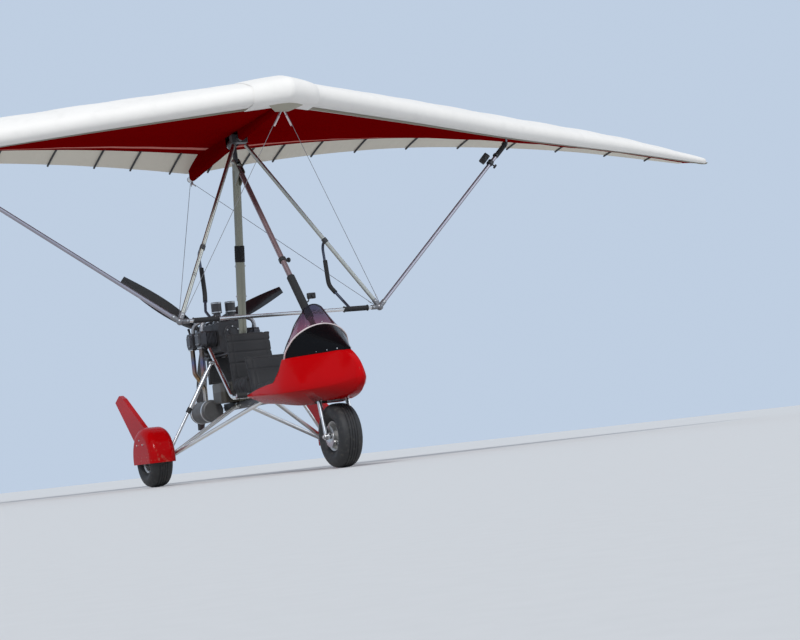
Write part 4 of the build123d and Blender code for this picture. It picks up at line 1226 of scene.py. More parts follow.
pod_shell = cloth_grid("pod_shell", len(pod_aft) - 1, 2 * len(pod_half(-1.0)) - 1, pod_place)
fresh("pod_shell")
bpy.ops.mesh.remove_doubles(threshold=0.0004)
closed_up(pod_shell)
pod_inside = plastic("pod_inside", (0.16, 0.15, 0.14), 0.7, 200.0, 0.0005)
walled(pod_shell, finishes["pod_gelcoat"], pod_inside, pod_wall, 28.0)
print("pod shell", len(pod_shell.data.polygons), "faces")

# %% [markdown]
# The openings are cut as a workshop would cut them, with one cutter each: a plate across the pod for both sides of
# the cockpit, a plate for the deck under the hood, and a drum along the steering axis for the wheel's fork.

# %% Openings of the pod
side_cut = ((-1.468, 1.10), (-1.468, 0.760), (-1.400, 0.672), (-1.100, 0.655), (-0.810, 0.622), (-0.740, 0.622))
sill = softened([Vector(v) for v in side_cut], 0.030, 5)[:-1] + [Vector((-0.740, 0.622)), Vector((-0.740, 1.10))]
cut_by(pod_shell, set_down(plate("side_cutter", sill, 1.0), athwart(-0.5)))
deck_hole = mm("-84,-1900 84,-1900 225,-1500 225,-1460 -225,-1460 -225,-1500")
cut_by(pod_shell, set_down(plate("deck_cutter", deck_hole, 0.12), Matrix.Translation(at(0, 0, 0.79))))
rake = radians(20.0)
steer = Vector((0.0, sin(rake), cos(rake)))
head = at(0, -1.700, 0.605)
well = head - steer * (0.605 - 0.482) / steer.z
well_cutter = turned("well_cutter", mm("136,-60 136,56"), 48)
cut_by(pod_shell, set_down(well_cutter, stand(well, steer)))
settle(pod_shell, "trike")
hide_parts("pod")
print("cut pod shell", len(pod_shell.data.polygons), "faces")

# %% [markdown]
# Every cut edge of the moulding is dressed with a rubber bead, so that nobody is scratched. The hood's rim has a
# pale one that shows as a light arch under the windscreen, and the windscreen's own edge has a thin dark one.
# Each bead is a tube along the edge, whose line comes from the same numbers as the shell.

# %% Beads of the pod
deck_z = 0.830
hood_rim = {"aft": -1.500, "lean": 41.8, "half": 0.245, "rise": 0.300, "side": 0.94, "shoulder": 0.61}
screen_rim = {"aft": -1.480, "lean": 12.5, "half": 0.245, "rise": 0.393, "side": 0.74, "shoulder": 0.40}


def arch(aft, lean, half, rise, side, shoulder, out, shift):
    """Places along an arch of the hood or the windscreen, from one foot over the top to the other."""
    corners = ((half, 0.0), (side * half, 0.44 * rise), (shoulder * half, 0.82 * rise), (0.0, rise))
    line = []
    for (x, z), (next_x, next_z) in zip(corners, corners[1:]):
        for s, bulge in ((0, 0.0), (1 / 3, 0.012), (2 / 3, 0.010)):
            point = Vector((x + (next_x - x) * s, z + (next_z - z) * s))
            line.append(point + point.normalized() * (out + bulge * half / 0.245))
    line.append(Vector((0.0, rise + out)))
    whole = line + [Vector((-p.x, p.y)) for p in reversed(line[:-1])]
    up = Vector((0, -sin(radians(lean)), cos(radians(lean))))
    ahead = Vector((0, -cos(radians(lean)), -sin(radians(lean))))
    return [at(0, aft, deck_z) + Vector((p.x, 0, 0)) + up * p.y + ahead * shift for p in whole]


pale_bead = plastic("pale_bead", (0.58, 0.50, 0.50), 0.4, 300.0, 0.0001)
rim_line = arch(**hood_rim, out=0.002, shift=0.002)
settle(tube_along("hood_bead", rim_line, 0.0065), "trike", pale_bead)
screen_line = arch(**screen_rim, out=-0.001, shift=-0.001)
settle(tube_along("screen_edging", screen_line, 0.0045), "trike", rubber)
sill_line = [(-1.468, 0.822)] + [(v.x, v.y) for v in sill if -1.47 < v.x < -0.805 and v.y < deck_z]
edgings = []
for side in (-1, 1):
    places = [at(side * (pod_side(aft, z) - pod_wall / 2), aft, z) for aft, z in sill_line]
    edgings.append(tube_along("side_edging", places, 0.0055))
settle(joined("side_edging", edgings), "trike", rubber)
print("places along a side edging", len(sill_line))

# %% [markdown]
# Screws hold the windscreen to the hood's rim, and a row of small bolts on each side holds the hood to the pod.

# %% Screws of the hood
rim_middle = at(0, hood_rim["aft"], deck_z)
screws = []
for place in arch(**hood_rim, out=0.0015, shift=-0.018)[1::2]:
    away = place - rim_middle
    away.y = 0
    screws.append((place, away.normalized() + Vector((0, -0.35, 0))))
fasteners("screen_screws", screws, "trike", 0.42)
hood_widths = ((-2.080, 0.026), (-1.900, 0.104), (-1.500, 0.245))
hood_bolts = []
for side in (-1, 1):
    for aft in (-2.02, -1.93, -1.83, -1.72, -1.61):
        half = fair(hood_widths, aft)[0]
        hood_bolts.append((at(side * (half * 0.995), aft, 0.846), (side, -0.35, 0.15)))
fasteners("hood_bolts", hood_bolts, "trike", 0.45)

# %% [markdown]
# Small fittings share a few finishes: black moulded plastic, black foam, cast and plated metal. A thin sleeve is
# turned as a closed ring with its own bore, so that it can sit round a tube. A ribbed one is the same with a wavy
# outside, for grips and pedal rubbers.

# %% Sleeves and their finishes
zinc = metal("dark_fastener", (0.18, 0.18, 0.17), 0.42, 0.8)
black = plastic("black_fitting", (0.018, 0.018, 0.019), 0.42, 200.0, 0.0002)
foam = plastic("foam_sleeve", (0.012, 0.012, 0.013), 0.85, 900.0, 0.0008)
silver = metal("cast_silver", (0.42, 0.42, 0.43), 0.45, 0.9, 300.0, 0.0004)
pale = plastic("pale_sleeve", (0.62, 0.52, 0.52), 0.55, 500.0, 0.0002)


def sleeve_rows(inner, outer, length, ribs_on):
    """Rows of a thin sleeve: up its outside with rounded ends, and down its bore."""
    soft = min(0.2 * length, 0.4 * (outer - inner))
    deep = outer - min(0.0016, 0.3 * (outer - inner))
    rows = [(inner, 0.0), (outer - soft, 0.0), (outer, soft)]
    for n in range(ribs_on):
        step = (length - 2 * soft) / ribs_on
        low = soft + n * step
        rows += [(outer, low + 0.45 * step), (deep, low + 0.6 * step), (deep, low + 0.85 * step), (outer, low + step)]
    return rows + [(outer, length - soft), (outer - soft, length), (inner, length)]


def sleeves(name, places, size, body, material, ribs_on=0, sides=32):
    """Sleeves of one size (bore, outer radius, length), each from a place along a direction, as one piece."""
    model = turned(name, sleeve_rows(*size, ribs_on), sides, False)
    settle(copies(model, [stand(origin, way) for origin, way in places]), body, material)


def lathe(name, rows, placings, body, material, sides):
    """A solid turned part, or several of one model, as one piece."""
    model = turned(name, rows, sides)
    piece = copies(model, placings) if len(placings) > 1 else set_down(model, placings[0])
    settle(piece, body, material)


# %% [markdown]
# Up the mast sit a black collar over its joint, and bolts through the joint and the foot. The hang bolt has a nut on
# each cheek. The front stay has a clamp with a knob and a long foam sleeve down to the windscreen.

# %% Mast and front stay fittings
mast_foot = at(0, -0.030, 0.610)
mast_way = (bolt - mast_foot).normalized()
stay_way = (at(0, -1.868, 0.650) - bolt).normalized()
collar_size = (0.032, 0.0405, 0.130)
sleeves("mast_collar", [(mast_foot + mast_way * 1.108, mast_way)], collar_size, "trike", foam, 10, 40)
mast_bolts = []
for side in (-1, 1):
    for up in (0.835, 1.075):
        mast_bolts.append((mast_foot + mast_way * up + Vector((side * 0.0365, 0, 0)), (side, 0, 0)))
    mast_bolts.append((at(side * 0.048, -0.030, 0.634), (side, 0, 0)))
fasteners("mast_bolts", mast_bolts, "trike", 0.8)
fasteners("hang_bolt_nuts", pair(0.0248, -0.355, 2.485), "trike", 1.5)
stay_foam = [(bolt + stay_way * 1.33, stay_way)]
sleeves("stay_sleeve", stay_foam, (0.0212, 0.031, 0.44), "trike", foam, 18)
clamp_spot = bolt + stay_way * 1.129
sleeves("stay_clamp", [(clamp_spot, stay_way)], (0.0208, 0.030, 0.036), "trike", black)
knob_rows = mm("6,0 6,16 17,18 19,22 19,31 15,35 4,36")
knob_place = stand(clamp_spot + stay_way * 0.018 + Vector((0.027, 0, 0)), (1, 0.3, 0))
lathe("stay_knob", knob_rows, [knob_place], "trike", black, 20)
print("mast from foot to hang bolt", round((bolt - mast_foot).length, 3), "m")

# %% [markdown]
# Two small cameras ride on the aircraft, one on an arm from the stay and one clamped to the port strut. Each is a
# block with a lens: a turned rim with a sunk glass.

# %% Camera on the stay
camera_spot = bolt + stay_way * 1.56 + Vector((0.082, -0.012, 0.010))
camera_body = set_down(block("stay_camera", (0.062, 0.034, 0.044), 0.006, 0.002), stand(camera_spot))
lens_rows = mm("14,0 15.5,1 15.5,11 13,12 11,9 2,8")
lens = turned("stay_lens", lens_rows, 24)
set_down(lens, stand(camera_spot + Vector((0.008, -0.0165, 0)), (0, -1, 0)))
arm_corners = [
    camera_spot - Vector((0.020, 0, 0.018)),
    camera_spot - Vector((0.030, 0, 0.045)),
    bolt + stay_way * 1.60 + Vector((0.024, 0, 0)),
]
arm = tube_along("stay_arm", softened(arm_corners, 0.02), 0.005)
settle(joined("stay_camera", [camera_body, lens, arm]), "trike", black)
print("stay camera at", [round(v, 3) for v in camera_spot])

# %% [markdown]
# On the control frame the starboard upright carries two small cleats. The training bars have foam sleeves round
# their bends and clamps on the uprights. The base bar's grips are ribbed between flanges.

# %% Control frame fittings
apex = {side: on_wing(side * 0.040, -0.120, 0.120) for side in (-1, 1)}
corner_out, corner_aft, corner_low = 0.823, -0.475, -1.339
corner = {side: on_wing(side * corner_out, corner_aft, corner_low) for side in (-1, 1)}
run_down = {side: (corner[side] - apex[side]).normalized() for side in (-1, 1)}
cleat_line = mm("-12,0 12,0 12,9 30,11 32,16 10,19 -10,19 -32,16 -30,11 -12,9")
cleat_spots, cleat_bands = [], []
for reach in (0.997, 1.268):
    placing = lay(apex[-1] + run_down[-1] * reach, run_down[-1], wing_aft)
    cleat_spots.append(placing @ Matrix.Translation((0, 0.0155, -0.005)))
    cleat_bands += [(apex[-1] + run_down[-1] * (reach + off), run_down[-1]) for off in (-0.011, 0.005)]
cleats = copies(plate("upright_cleats", cleat_line, 0.010, 0.0015), cleat_spots)
settle(cleats, "wing", black)
sleeves("cleat_bands", cleat_bands, (0.0158, 0.0172, 0.006), "wing", zinc)

foams, clamps = [], []
for side in (-1, 1):
    hold = apex[side] + (corner[side] - apex[side]) * 0.60
    out_aft = (wing_aft - run_down[side] * wing_aft.dot(run_down[side])).normalized()
    bend = hold + out_aft * 0.070 - wing_up * 0.330
    foot = corner[side] - Vector((side * 0.250, 0, 0)) + (wing_aft + wing_up * 0.8).normalized() * 0.130
    line = softened([bend + wing_up * 0.20, bend, foot], 0.040, 6)
    line[-1] = bend + (foot - bend) * 0.45
    foams.append(tube_along("training_foam", line, 0.0175, 20))
    clamps.append((hold - run_down[side] * 0.020, run_down[side]))
settle(joined("training_foam", foams), "wing", foam)
sleeves("training_clamps", clamps, (0.0158, 0.0215, 0.040), "wing", black)


def on_bar(*insets):
    """Places on the base bar, measured in from each corner, facing the middle."""
    return [(corner[side] - Vector((side * x, 0, 0)), (-side, 0, 0)) for side in (-1, 1) for x in insets]


sleeves("bar_grips", on_bar(0.108), (0.0188, 0.0203, 0.194), "wing", foam, 26)
sleeves("grip_flanges", on_bar(0.103, 0.302), (0.0144, 0.0245, 0.006), "wing", black)
print("base bar between corners", round(corner[1].x - corner[-1].x, 3), "m")

# %% [markdown]
# At each corner of the control frame an upright, the base bar and a strut meet in one socket, with a bolt on either
# side of each tube. The nose plate has its own four bolts from below.

# %% Corner and nose bolts
strut_end, strut_way = {}, {}
for side in (-1, 1):
    far = [v.co for v in nodes["wing_struts"].data.vertices if side * v.co.x > 2.43]
    strut_end[side] = sum(far, Vector()) / len(far)
    strut_way[side] = (strut_end[side] - corner[side]).normalized()
corner_bolts = []
for side in (-1, 1):
    for run, tube_r in ((-run_down[side], 0.016), (Vector((-side, 0, 0)), 0.0145), (strut_way[side], 0.016)):
        level = run.cross(wing_aft).cross(run).normalized()
        for face in (-1, 1):
            corner_bolts.append((corner[side] + run * 0.055 + level * face * (tube_r + 0.0036), level * face))
fasteners("corner_bolts", corner_bolts, "wing", 0.62)
plate_spots = ((-0.052, -1.088), (0.052, -1.088), (0.0, -1.165), (0.0, -1.01))
plate_bolts = [(on_wing(x, y, keel_up - keel_r - 0.0062), -wing_up) for x, y in plate_spots]
fasteners("nose_plate_bolts", plate_bolts, "wing", 0.7)

# %% [markdown]
# The wires run from the corners to the hooks under the nose and the tail. A ferrule is a short turned sleeve with a
# waist where the press has squeezed it, and the nose wires wear pale sleeves at their upper ends. A plug closes the
# keel's tail.

# %% Wire ends
ferrule_rows = mm("2.2,0 4.2,1 4.5,10 3.6,14 3.6,18 4.5,22 4.2,32 2.2,33")
nose_hook, tail_hook = on_wing(0, -1.053, 0.107), on_wing(0, 1.029, 0.111)
ferrules, pale_places = [], []
for side in (-1, 1):
    for off, hook in ((-0.030, nose_hook), (0.030, tail_hook)):
        start = on_wing(side * corner_out, corner_aft + off, corner_low)
        run = (hook - start).normalized()
        ferrules += [stand(start + run * 0.075, run), stand(hook - run * 0.055, run)]
        if hook is nose_hook:
            pale_places.append((hook - run * 0.147, run))
lathe("wire_ferrules", ferrule_rows, ferrules, "wing", steel, 16)
sleeves("nose_wire_sleeves", pale_places, (0.0023, 0.0065, 0.088), "wing", pale, 0, 20)
plug_rows = mm("22.5,-20 22.5,0 26.2,0.5 26.2,4 22,8 10,10 2,10.5")
lathe("keel_plug", plug_rows, [stand(on_wing(0, 1.049, keel_up), wing_aft)], "wing", black, 32)
print("ferrules", len(ferrules))

# %% [markdown]
# The strut camera is clamped two thirds of the way up the port strut and looks ahead. A band closes each end of the
# dark sleeve on a strut.

# %% Camera and bands on the struts
eye_way = strut_way[1]
eye_spot = corner[1] + eye_way * 1.90
inboard = (Vector((-1, 0, 0)) + eye_way * eye_way.x).normalized()
eye_clamp = [(eye_spot - eye_way * 0.022, eye_way)]
sleeves("strut_camera_clamp", eye_clamp, (0.0158, 0.026, 0.044), "wing", black)
eye_body = block("strut_camera", (0.082, 0.054, 0.060), 0.009, 0.002)
set_down(eye_body, lay(eye_spot + inboard * 0.060, eye_way, inboard))
eye_rows = mm("16,0 18,1 18,12 15,13 12,9 2,8")
eye_lens = turned("strut_lens", eye_rows, 24)
set_down(eye_lens, stand(eye_spot + inboard * 0.064 + Vector((0, -0.027, 0.0)), (0, -1, 0)))
eye_knob = set_down(turned("strut_knob", knob_rows, 20), stand(eye_spot - inboard * 0.024, -inboard))
settle(joined("strut_camera", [eye_body, eye_lens, eye_knob]), "wing", black)
strut_bands = []
for side in (-1, 1):
    reach = (strut_end[side] - corner[side]).length
    strut_bands += [(corner[side] + strut_way[side] * (reach - back), strut_way[side]) for back in (0.205, 0.04)]
sleeves("strut_bands", strut_bands, (0.0200, 0.0235, 0.018), "wing", black)
print("strut", round(reach, 3), "m")

# %% [markdown]
# The tyres are turned again from the CAD section with the flanks rounded and four grooves round the tread. A groove
# is about five millimetres wide and four deep.

# %% Tyres
tyre_rows = (
    (0.62, 0.10), (0.86, 0.24), (0.98, 0.42), (1.0, 0.56), (0.93, 0.74), (0.76, 0.89), (0.48, 0.975), (0.17, 1.0),
)
groove = ((0.003, 0.0), (0.0022, 0.004), (-0.0022, 0.004), (-0.003, 0.0))
rim_r, tyre_half = 0.102, 0.090
front_aft, front_r, rear_r = -1.800, 0.233, 0.222
wheels = (
    ("front", at(0, front_aft, front_r), front_r, "front_wheel"),
    ("starboard", at(-0.800, 0, rear_r), rear_r, "starboard_wheel"),
    ("port", at(0.800, 0, rear_r), rear_r, "port_wheel"),
)


def tyre_section(radius):
    """Rows of a grooved tyre, from one bead over the tread to the other."""
    flank = [Vector((0.052, rim_r + 0.0006))]
    flank += [Vector((x * tyre_half, rim_r + r * (radius - rim_r))) for x, r in tyre_rows]
    half = [v for v in softened(flank, 0.009, 3) if v.x > 0.034 or v.y < 0.16]
    for middle in (0.030, 0.0095):
        level = radius - 0.0002 - 0.0025 * (middle / 0.030) ** 2
        half += [Vector((middle + x, level - deep)) for x, deep in groove]
    return [(v.y, v.x) for v in half] + [(v.y, -v.x) for v in reversed(half)]


for place, middle, radius, body in wheels:
    ring = turned(f"{place}_tread", tyre_section(radius), 84, False)
    settle(set_down(ring, stand(middle, (1, 0, 0))), body, finishes["tyre_rubber"])
    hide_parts(f"{place}_tyre")
    print(ring.name, len(ring.data.polygons), "faces")

# %% [markdown]
# Each wheel gets bolts through its disc between the six holes and a valve. They go round the axle by angle, starting
# between two holes. Nuts close the axles' ends.

# %% Wheel fittings
valve_rows = mm("4.5,0 4.8,6 2.8,9 2.8,26 3.7,26.5 3.7,34 1.5,35")


def round_axle(middle, radius, degrees, x):
    """A place round a wheel's axle."""
    turn = radians(degrees)
    return middle + Vector((x, radius * cos(turn), radius * sin(turn)))


disc_bolt_r, disc_face = 0.063, 0.0078
for place, middle, radius, body in wheels:
    disc_bolts = [
        (round_axle(middle, disc_bolt_r, 30 + 60 * k, s * disc_face), (s, 0, 0)) for k in range(6) for s in (-1, 1)
    ]
    fasteners(f"{place}_wheel_bolts", disc_bolts, body, 0.62)
    valve = stand(round_axle(middle, 0.0895, 30, 0.028), round_axle(Vector(), -0.5, 30, 0.9))
    lathe(f"{place}_valve", valve_rows, [valve], body, black, 16)
fasteners("rear_axle_nuts", pair(0.862, 0, rear_r), "trike", 1.7)
fasteners("front_axle_nuts", pair(0.1235, front_aft, front_r), "fork", 1.6)

# %% [markdown]
# The front wheel has a small disc brake on its starboard side. The disc turns with the wheel, and the caliper's two
# halves and their bridge sit on a bracket from the fork. Ribbed rubbers cover the foot bar and the rear footrests.

# %% Front brake and foot rubbers
front_mid = wheels[0][1]
carrier_rows = mm("21.5,0 30,0 30,14 44,21 44.5,23.5 78,23.6 78.5,24 78.5,26.8 78,27.2 40,27.2 21.5,20")
disc = turned("brake_disc", carrier_rows, 64, False)
settle(set_down(disc, stand(front_mid + Vector((-0.0598, 0, 0)), (-1, 0, 0))), "front_wheel", steel)
caliper_mid = front_mid + Vector((-0.0855, 0.0535, 0.0400))
outward, round_disc = Vector((0, 0.8, 0.6)), (0, -0.6, 0.8)
half_places = [lay(caliper_mid + Vector((s * 0.0105, 0, 0)), round_disc, outward) for s in (-1, 1)]
halves = copies(block("brake_caliper", (0.052, 0.040, 0.012), 0.004, 0.002), half_places)
bridge = block("brake_bridge", (0.050, 0.010, 0.032), 0.003)
set_down(bridge, lay(caliper_mid + outward * 0.024, round_disc, outward))
bracket_line = [
    caliper_mid + Vector((-0.012, 0.006, 0)),
    caliper_mid + Vector((-0.020, -0.012, -0.010)),
    front_mid + Vector((-0.104, 0.016, 0.016)),
]
bracket = tube_along("brake_bracket", bracket_line, 0.0075)
settle(joined("brake_caliper", [halves, bridge, bracket]), "fork", black)
bar_mid = head + steer * 0.088
pedals = [(bar_mid + Vector((s * 0.118, 0, 0)), (s, 0, 0)) for s in (-1, 1)]
sleeves("pedal_rubbers", pedals, (0.0101, 0.0165, 0.088), "fork", rubber, 11)
rests = pair(0.250, -0.700, 0.6253)
sleeves("footrest_rubbers", rests, (0.0152, 0.0212, 0.086), "trike", rubber, 10)
print("brake disc", round(2 * max(radius for radius, height in carrier_rows), 3), "m across")

# %% [markdown]
# The engine's small parts: bolts on the covers and the gearbox, plug caps and inlet runners on the heads, a ribbed
# cover and an oil filter at the front, bands on the air filters, and flanges where the exhaust pipes leave the heads.

# %% Engine fittings
crank_z, box_z, starter_z = 1.140, 1.235, 1.168
head_afts = (0.215, 0.420)
cover_face = 0.2672
cover_bolts, plug_caps, runners = [], [], []
for side in (-1, 1):
    for aft in head_afts:
        for dy, dz in ((-0.026, -0.036), (0.026, -0.036), (-0.026, 0.036), (0.026, 0.036)):
            cover_bolts.append((at(side * cover_face, aft + dy, crank_z + dz), (side, 0, 0)))
        plug_caps.append(stand(at(side * 0.236, aft + 0.030, crank_z + 0.0635), (side * 0.2, 0, 1)))
        mouth = at(side * 0.230, aft - 0.028, crank_z + 0.062)
        middle = at(side * 0.190, aft - 0.028 + (0.250 - aft) * 0.25, 1.292)
        root = at(side * 0.086, 0.250 + (aft - 0.3175) * 0.12, 1.318)
        runners.append(tube_along("inlet_runner", [mouth, mouth + Vector((0, 0, 0.05)), middle, root], 0.0155, 16))
fasteners("cover_bolts", cover_bolts, "trike", 0.55)
settle(joined("inlet_runners", runners), "trike", silver)
cap_turned = mm("12.5,0 12.5,4 8.5,7 8.5,30 10.5,32 10.5,46 8.5,49 2,50")
lathe("plug_caps", cap_turned, plug_caps, "trike", black, 20)
flanges = [(at(-0.240, aft, crank_z - 0.0645 - 0.008), (0, 0, 1)) for aft in head_afts]
sleeves("exhaust_flanges", flanges, (0.0192, 0.031, 0.008), "trike", steel)
box_bolts = bolt_ring(0.076, 0.7042, crank_z, (200, 230, 260, 290, 320, 340), 1)
box_bolts += bolt_ring(0.058, 0.7242, box_z, range(0, 360, 45), 1)
fasteners("gearbox_bolts", box_bolts, "trike", 0.6)
ring_rows = mm("70,-2 70,10 66,13 60,13 58,20 46,22 44,18 30,18 28,26 4,28")
starter = [stand(at(0, 0.110, starter_z), (0, -1, 0))]
lathe("starter_cover", ring_rows, starter, "trike", finishes["gearbox_paint"], 40)
starter_bolts = bolt_ring(0.052, 0.0882, starter_z, range(30, 390, 60), -1)
fasteners("starter_bolts", starter_bolts, "trike", 0.5)
filter_rows = mm("20,-1 30,0 34,4 34,50 31,57 16,60 14,63 3,63")
filter_place = [stand(at(0.070, 0.110, 1.060), (0, -1, 0))]
lathe("oil_filter", filter_rows, filter_place, "trike", finishes["pod_gelcoat"], 28)
filter_bands = [(at(s * 0.060, 0.250, 1.265 + z), (0, 0, 1)) for s in (-1, 1) for z in (0.084, 0.158)]
sleeves("filter_bands", filter_bands, (0.0418, 0.0434, 0.008), "trike", steel)
case_bolts = [(at(s * 0.100, 0.150 + 0.095 * k, 1.2648), (0, 0, 1)) for s in (-1, 1) for k in range(5)]
fasteners("case_bolts", case_bolts, "trike", 0.55)
filler_rows = mm("18,0 18,10 24,12 25,15 25,24 22,28 6,29")
lathe("oil_filler", filler_rows, [stand(at(0.0, 0.470, 1.2645))], "trike", black, 18)

# %% [markdown]
# Cooling and fuel: a cap and two moulded elbows on the radiator, a cap and two straps on the tank. A strap is a
# slice of the tank's outline made a little larger, so only its rim shows. The silencer has two bands, and the
# propeller hub a ring of bolts on each face and a domed cap.

# %% Radiator, tank, silencer and hub
elbow_places = (
    (0.110, 0.353, 0.975), (0.118, 0.353, 1.035), (0.165, 0.345, 1.050),
    (0.160, 0.319, 1.080), (0.110, 0.3175, 1.085),
)
elbows, hose_clamps = [], []
for side in (-1, 1):
    line = [at(side * x, aft, z) for x, aft, z in elbow_places]
    elbows.append(tube_along("radiator_elbow", line, 0.0135, 16))
    hose_clamps.append((at(side * 0.110, 0.353, 0.990), (0, 0, 1)))
settle(joined("radiator_elbows", elbows), "trike", rubber)
sleeves("hose_clamps", hose_clamps, (0.0133, 0.0152, 0.009), "trike", steel)
radiator_cap = mm("16,0 16,6 21,8 21,17 18,21 4,22")
lathe("radiator_cap", radiator_cap, [stand(at(0.0, 0.353, 0.9855))], "trike", steel, 12)
tank_corners = (
    (0.150, 0.6085), (0.2716, 0.6085), (0.2716, 0.7716), (0.0284, 0.7716), (0.0284, 0.6085), (0.150, 0.6085),
)
tank_line = softened([Vector(v) for v in tank_corners], 0.034, 6)[:-1]
straps = copies(plate("tank_straps", tank_line, 0.028, 0.0006), [athwart(x - 0.014) for x in (-0.105, 0.105)])
settle(straps, "trike", black)
tank_cap_rows = mm("30,0 30,6 36,8 37,12 37,24 33,29 10,31")
lathe("tank_cap", tank_cap_rows, [stand(at(0.0, 0.150, 0.7695))], "trike", black, 16)
drum_places = [(at(-0.160, aft, 0.560), (0, 1, 0)) for aft in (0.330, 0.560)]
sleeves("silencer_bands", drum_places, (0.0896, 0.0926, 0.022), "trike", steel, 0, 56)
hub_bolts = []
for angle in range(0, 360, 60):
    for face in (-1, 1):
        hub_bolts += bolt_ring(0.043, 0.790 + face * 0.0298, box_z, [angle], face)
fasteners("hub_bolts", hub_bolts, "propeller", 0.9)
dome_rows = mm("30,-1 30,3 27,10 20,16 10,19.5 2,20")
lathe("hub_dome", dome_rows, [stand(at(0, 0.820, box_z), (0, 1, 0))], "propeller", silver, 32)

# %% [markdown]
# Bolts through the suspension bosses, the gear legs' lugs and the spats, and a rubber gaiter on each damper.

# %% Undercarriage fittings
leg_bolts, gaiters = [], []
for side in (-1, 1):
    top, foot = at(side * 0.262, -0.043, 0.930), at(side * 0.662, 0, 0.274)
    leg_bolts.append((at(side * 0.2755, -0.043, 0.930), (side, 0, 0)))
    leg_bolts += [(at(side * 0.662, face * 0.0155, 0.274), (0, face, 0)) for face in (-1, 1)]
    leg_bolts += [(at(side * 0.042, aft, 0.5895), (0, 0, 1)) for aft in (-0.495, 0.070)]
    gaiters.append((top + (foot - top) * 0.515, (foot - top).normalized()))
fasteners("undercarriage_bolts", leg_bolts, "trike", 0.8)
sleeves("damper_gaiters", gaiters, (0.0121, 0.021, 0.046), "trike", rubber, 5)
spat_bolts = []
spat_face, spat_bolt_r, spat_bolt_z = 0.9065, 0.075, 0.300
for side in (-1, 1):
    for turn in (radians(30), radians(90), radians(150)):
        place = at(side * spat_face, spat_bolt_r * cos(turn), spat_bolt_z + spat_bolt_r * sin(turn))
        spat_bolts.append((place, (side, 0, 0)))
fasteners("spat_bolts", spat_bolts, "trike", 0.75)

# %% [markdown]
# The instruments face the pilot. Each round one has a bezel, a ring of marks and a needle, with no lettering. The
# screen sits in a rounded frame, and a row of four toggle switches is under it.

# %% Instruments
panel_lean = radians(hood_rim["lean"])
panel_up = Vector((0, -sin(panel_lean), cos(panel_lean)))
panel_back = Vector((0, cos(panel_lean), sin(panel_lean)))
panel_mid = rim_middle - panel_back * 0.045
face_t = 0.012
gauge_x, gauge_up = 0.115, 0.1226


def on_panel(x, up, back=0.0):
    """A place on the panel: to port, up, and toward the pilot."""
    return panel_mid + Vector((x, 0, 0)) + panel_up * up + panel_back * back


bezels, mark_places, needle_places = [], [], []
for x in (-gauge_x, gauge_x):
    bezels.append((on_panel(x, gauge_up, face_t - 0.001), panel_back))
    face = lay(on_panel(x, gauge_up, face_t), (1, 0, 0), panel_up)
    mark_places += [face @ Matrix.Rotation(radians(30 + 25 * k), 4, "Z") for k in range(13)]
    needle_places.append(face @ Matrix.Translation((0, 0, 0.001)) @ Matrix.Rotation(radians(60 + 900 * x), 4, "Z"))
sleeves("gauge_bezels", bezels, (0.0345, 0.0415, 0.006), "trike", zinc, 0, 48)
mark = plate("gauge_marks", mm("-0.7,26 0.7,26 0.7,32 -0.7,32"), 0.0006)
settle(copies(mark, mark_places), "trike", plastic("mark_white", (0.80, 0.80, 0.78), 0.5))
needle = plate("gauge_needles", mm("-1.6,-7 1.6,-7 0.4,29 -0.4,29"), 0.0007)
settle(copies(needle, needle_places), "trike", plastic("needle_orange", (0.80, 0.16, 0.01), 0.4))
display = block("display_frame", (0.138, 0.088, 0.010), 0.003, 0.004)
settle(set_down(display, lay(on_panel(0, 0.1776, face_t), (1, 0, 0), panel_up)), "trike", black)
toggle_rows = mm("7,0 7,3 3.5,4 2.5,12 3.4,20 3.4,23 1,24.5")
toggles = []
for k in range(4):
    flick = 0.4 if k % 2 else -0.4
    toggles.append(stand(on_panel(-0.045 + 0.030 * k, 0.105, -0.0005), panel_back + panel_up * flick))
lathe("toggle_switches", toggle_rows, toggles, "trike", steel, 16)
print("gauge marks", len(mark_places))

# %% [markdown]
# The seats are foam in a sewn black cover. The CAD solid is copied, remeshed into even small faces and blown up a
# little by a cloth simulation, with a limit on how far any place may move, so that its faces crown and its sides
# pull in. Sewn channels are pressed in afterwards, because the remesh would lose them.

# %% Padded seats
def puffed(node, name, cap, voxel=0.007, shrink=0.006, steps=18):
    """A padded copy of a CAD solid, none of whose places has moved further than a cap."""
    nodes[node].hide_set(False)
    pad = twin(nodes[node], name)
    pad.data.name = name
    for key in list(pad.keys()):
        if key.startswith("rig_"):
            del pad[key]
    pad.parent = None
    opened(pad)
    bpy.ops.mesh.remove_doubles(threshold=0.0001)
    bpy.ops.mesh.normals_make_consistent(inside=False)
    bpy.ops.transform.shrink_fatten(value=-shrink)
    bpy.ops.object.mode_set(mode="OBJECT")
    mesher = pad.modifiers.new("mesher", "REMESH")
    mesher.mode = "VOXEL"
    mesher.voxel_size = voxel
    apply_all(pad)
    before = [v.co.copy() for v in pad.data.vertices]
    blown = pad.modifiers.new("blown", "CLOTH")
    blown.settings.use_pressure = True
    blown.settings.uniform_pressure_force = 4.0
    blown.settings.effector_weights.gravity = 0.0
    blown.settings.quality = 4
    scene = bpy.context.scene
    for step in range(1, steps + 1):
        scene.frame_set(step)
    graph = bpy.context.evaluated_depsgraph_get()
    after = [v.co.copy() for v in pad.evaluated_get(graph).data.vertices]
    pad.modifiers.clear()
    scene.frame_set(1)
    for vertex, old, new in zip(pad.data.vertices, before, after):
        move = new - old
        vertex.co = old + move * min(1.0, cap / max(move.length, 1e-9))
    return pad


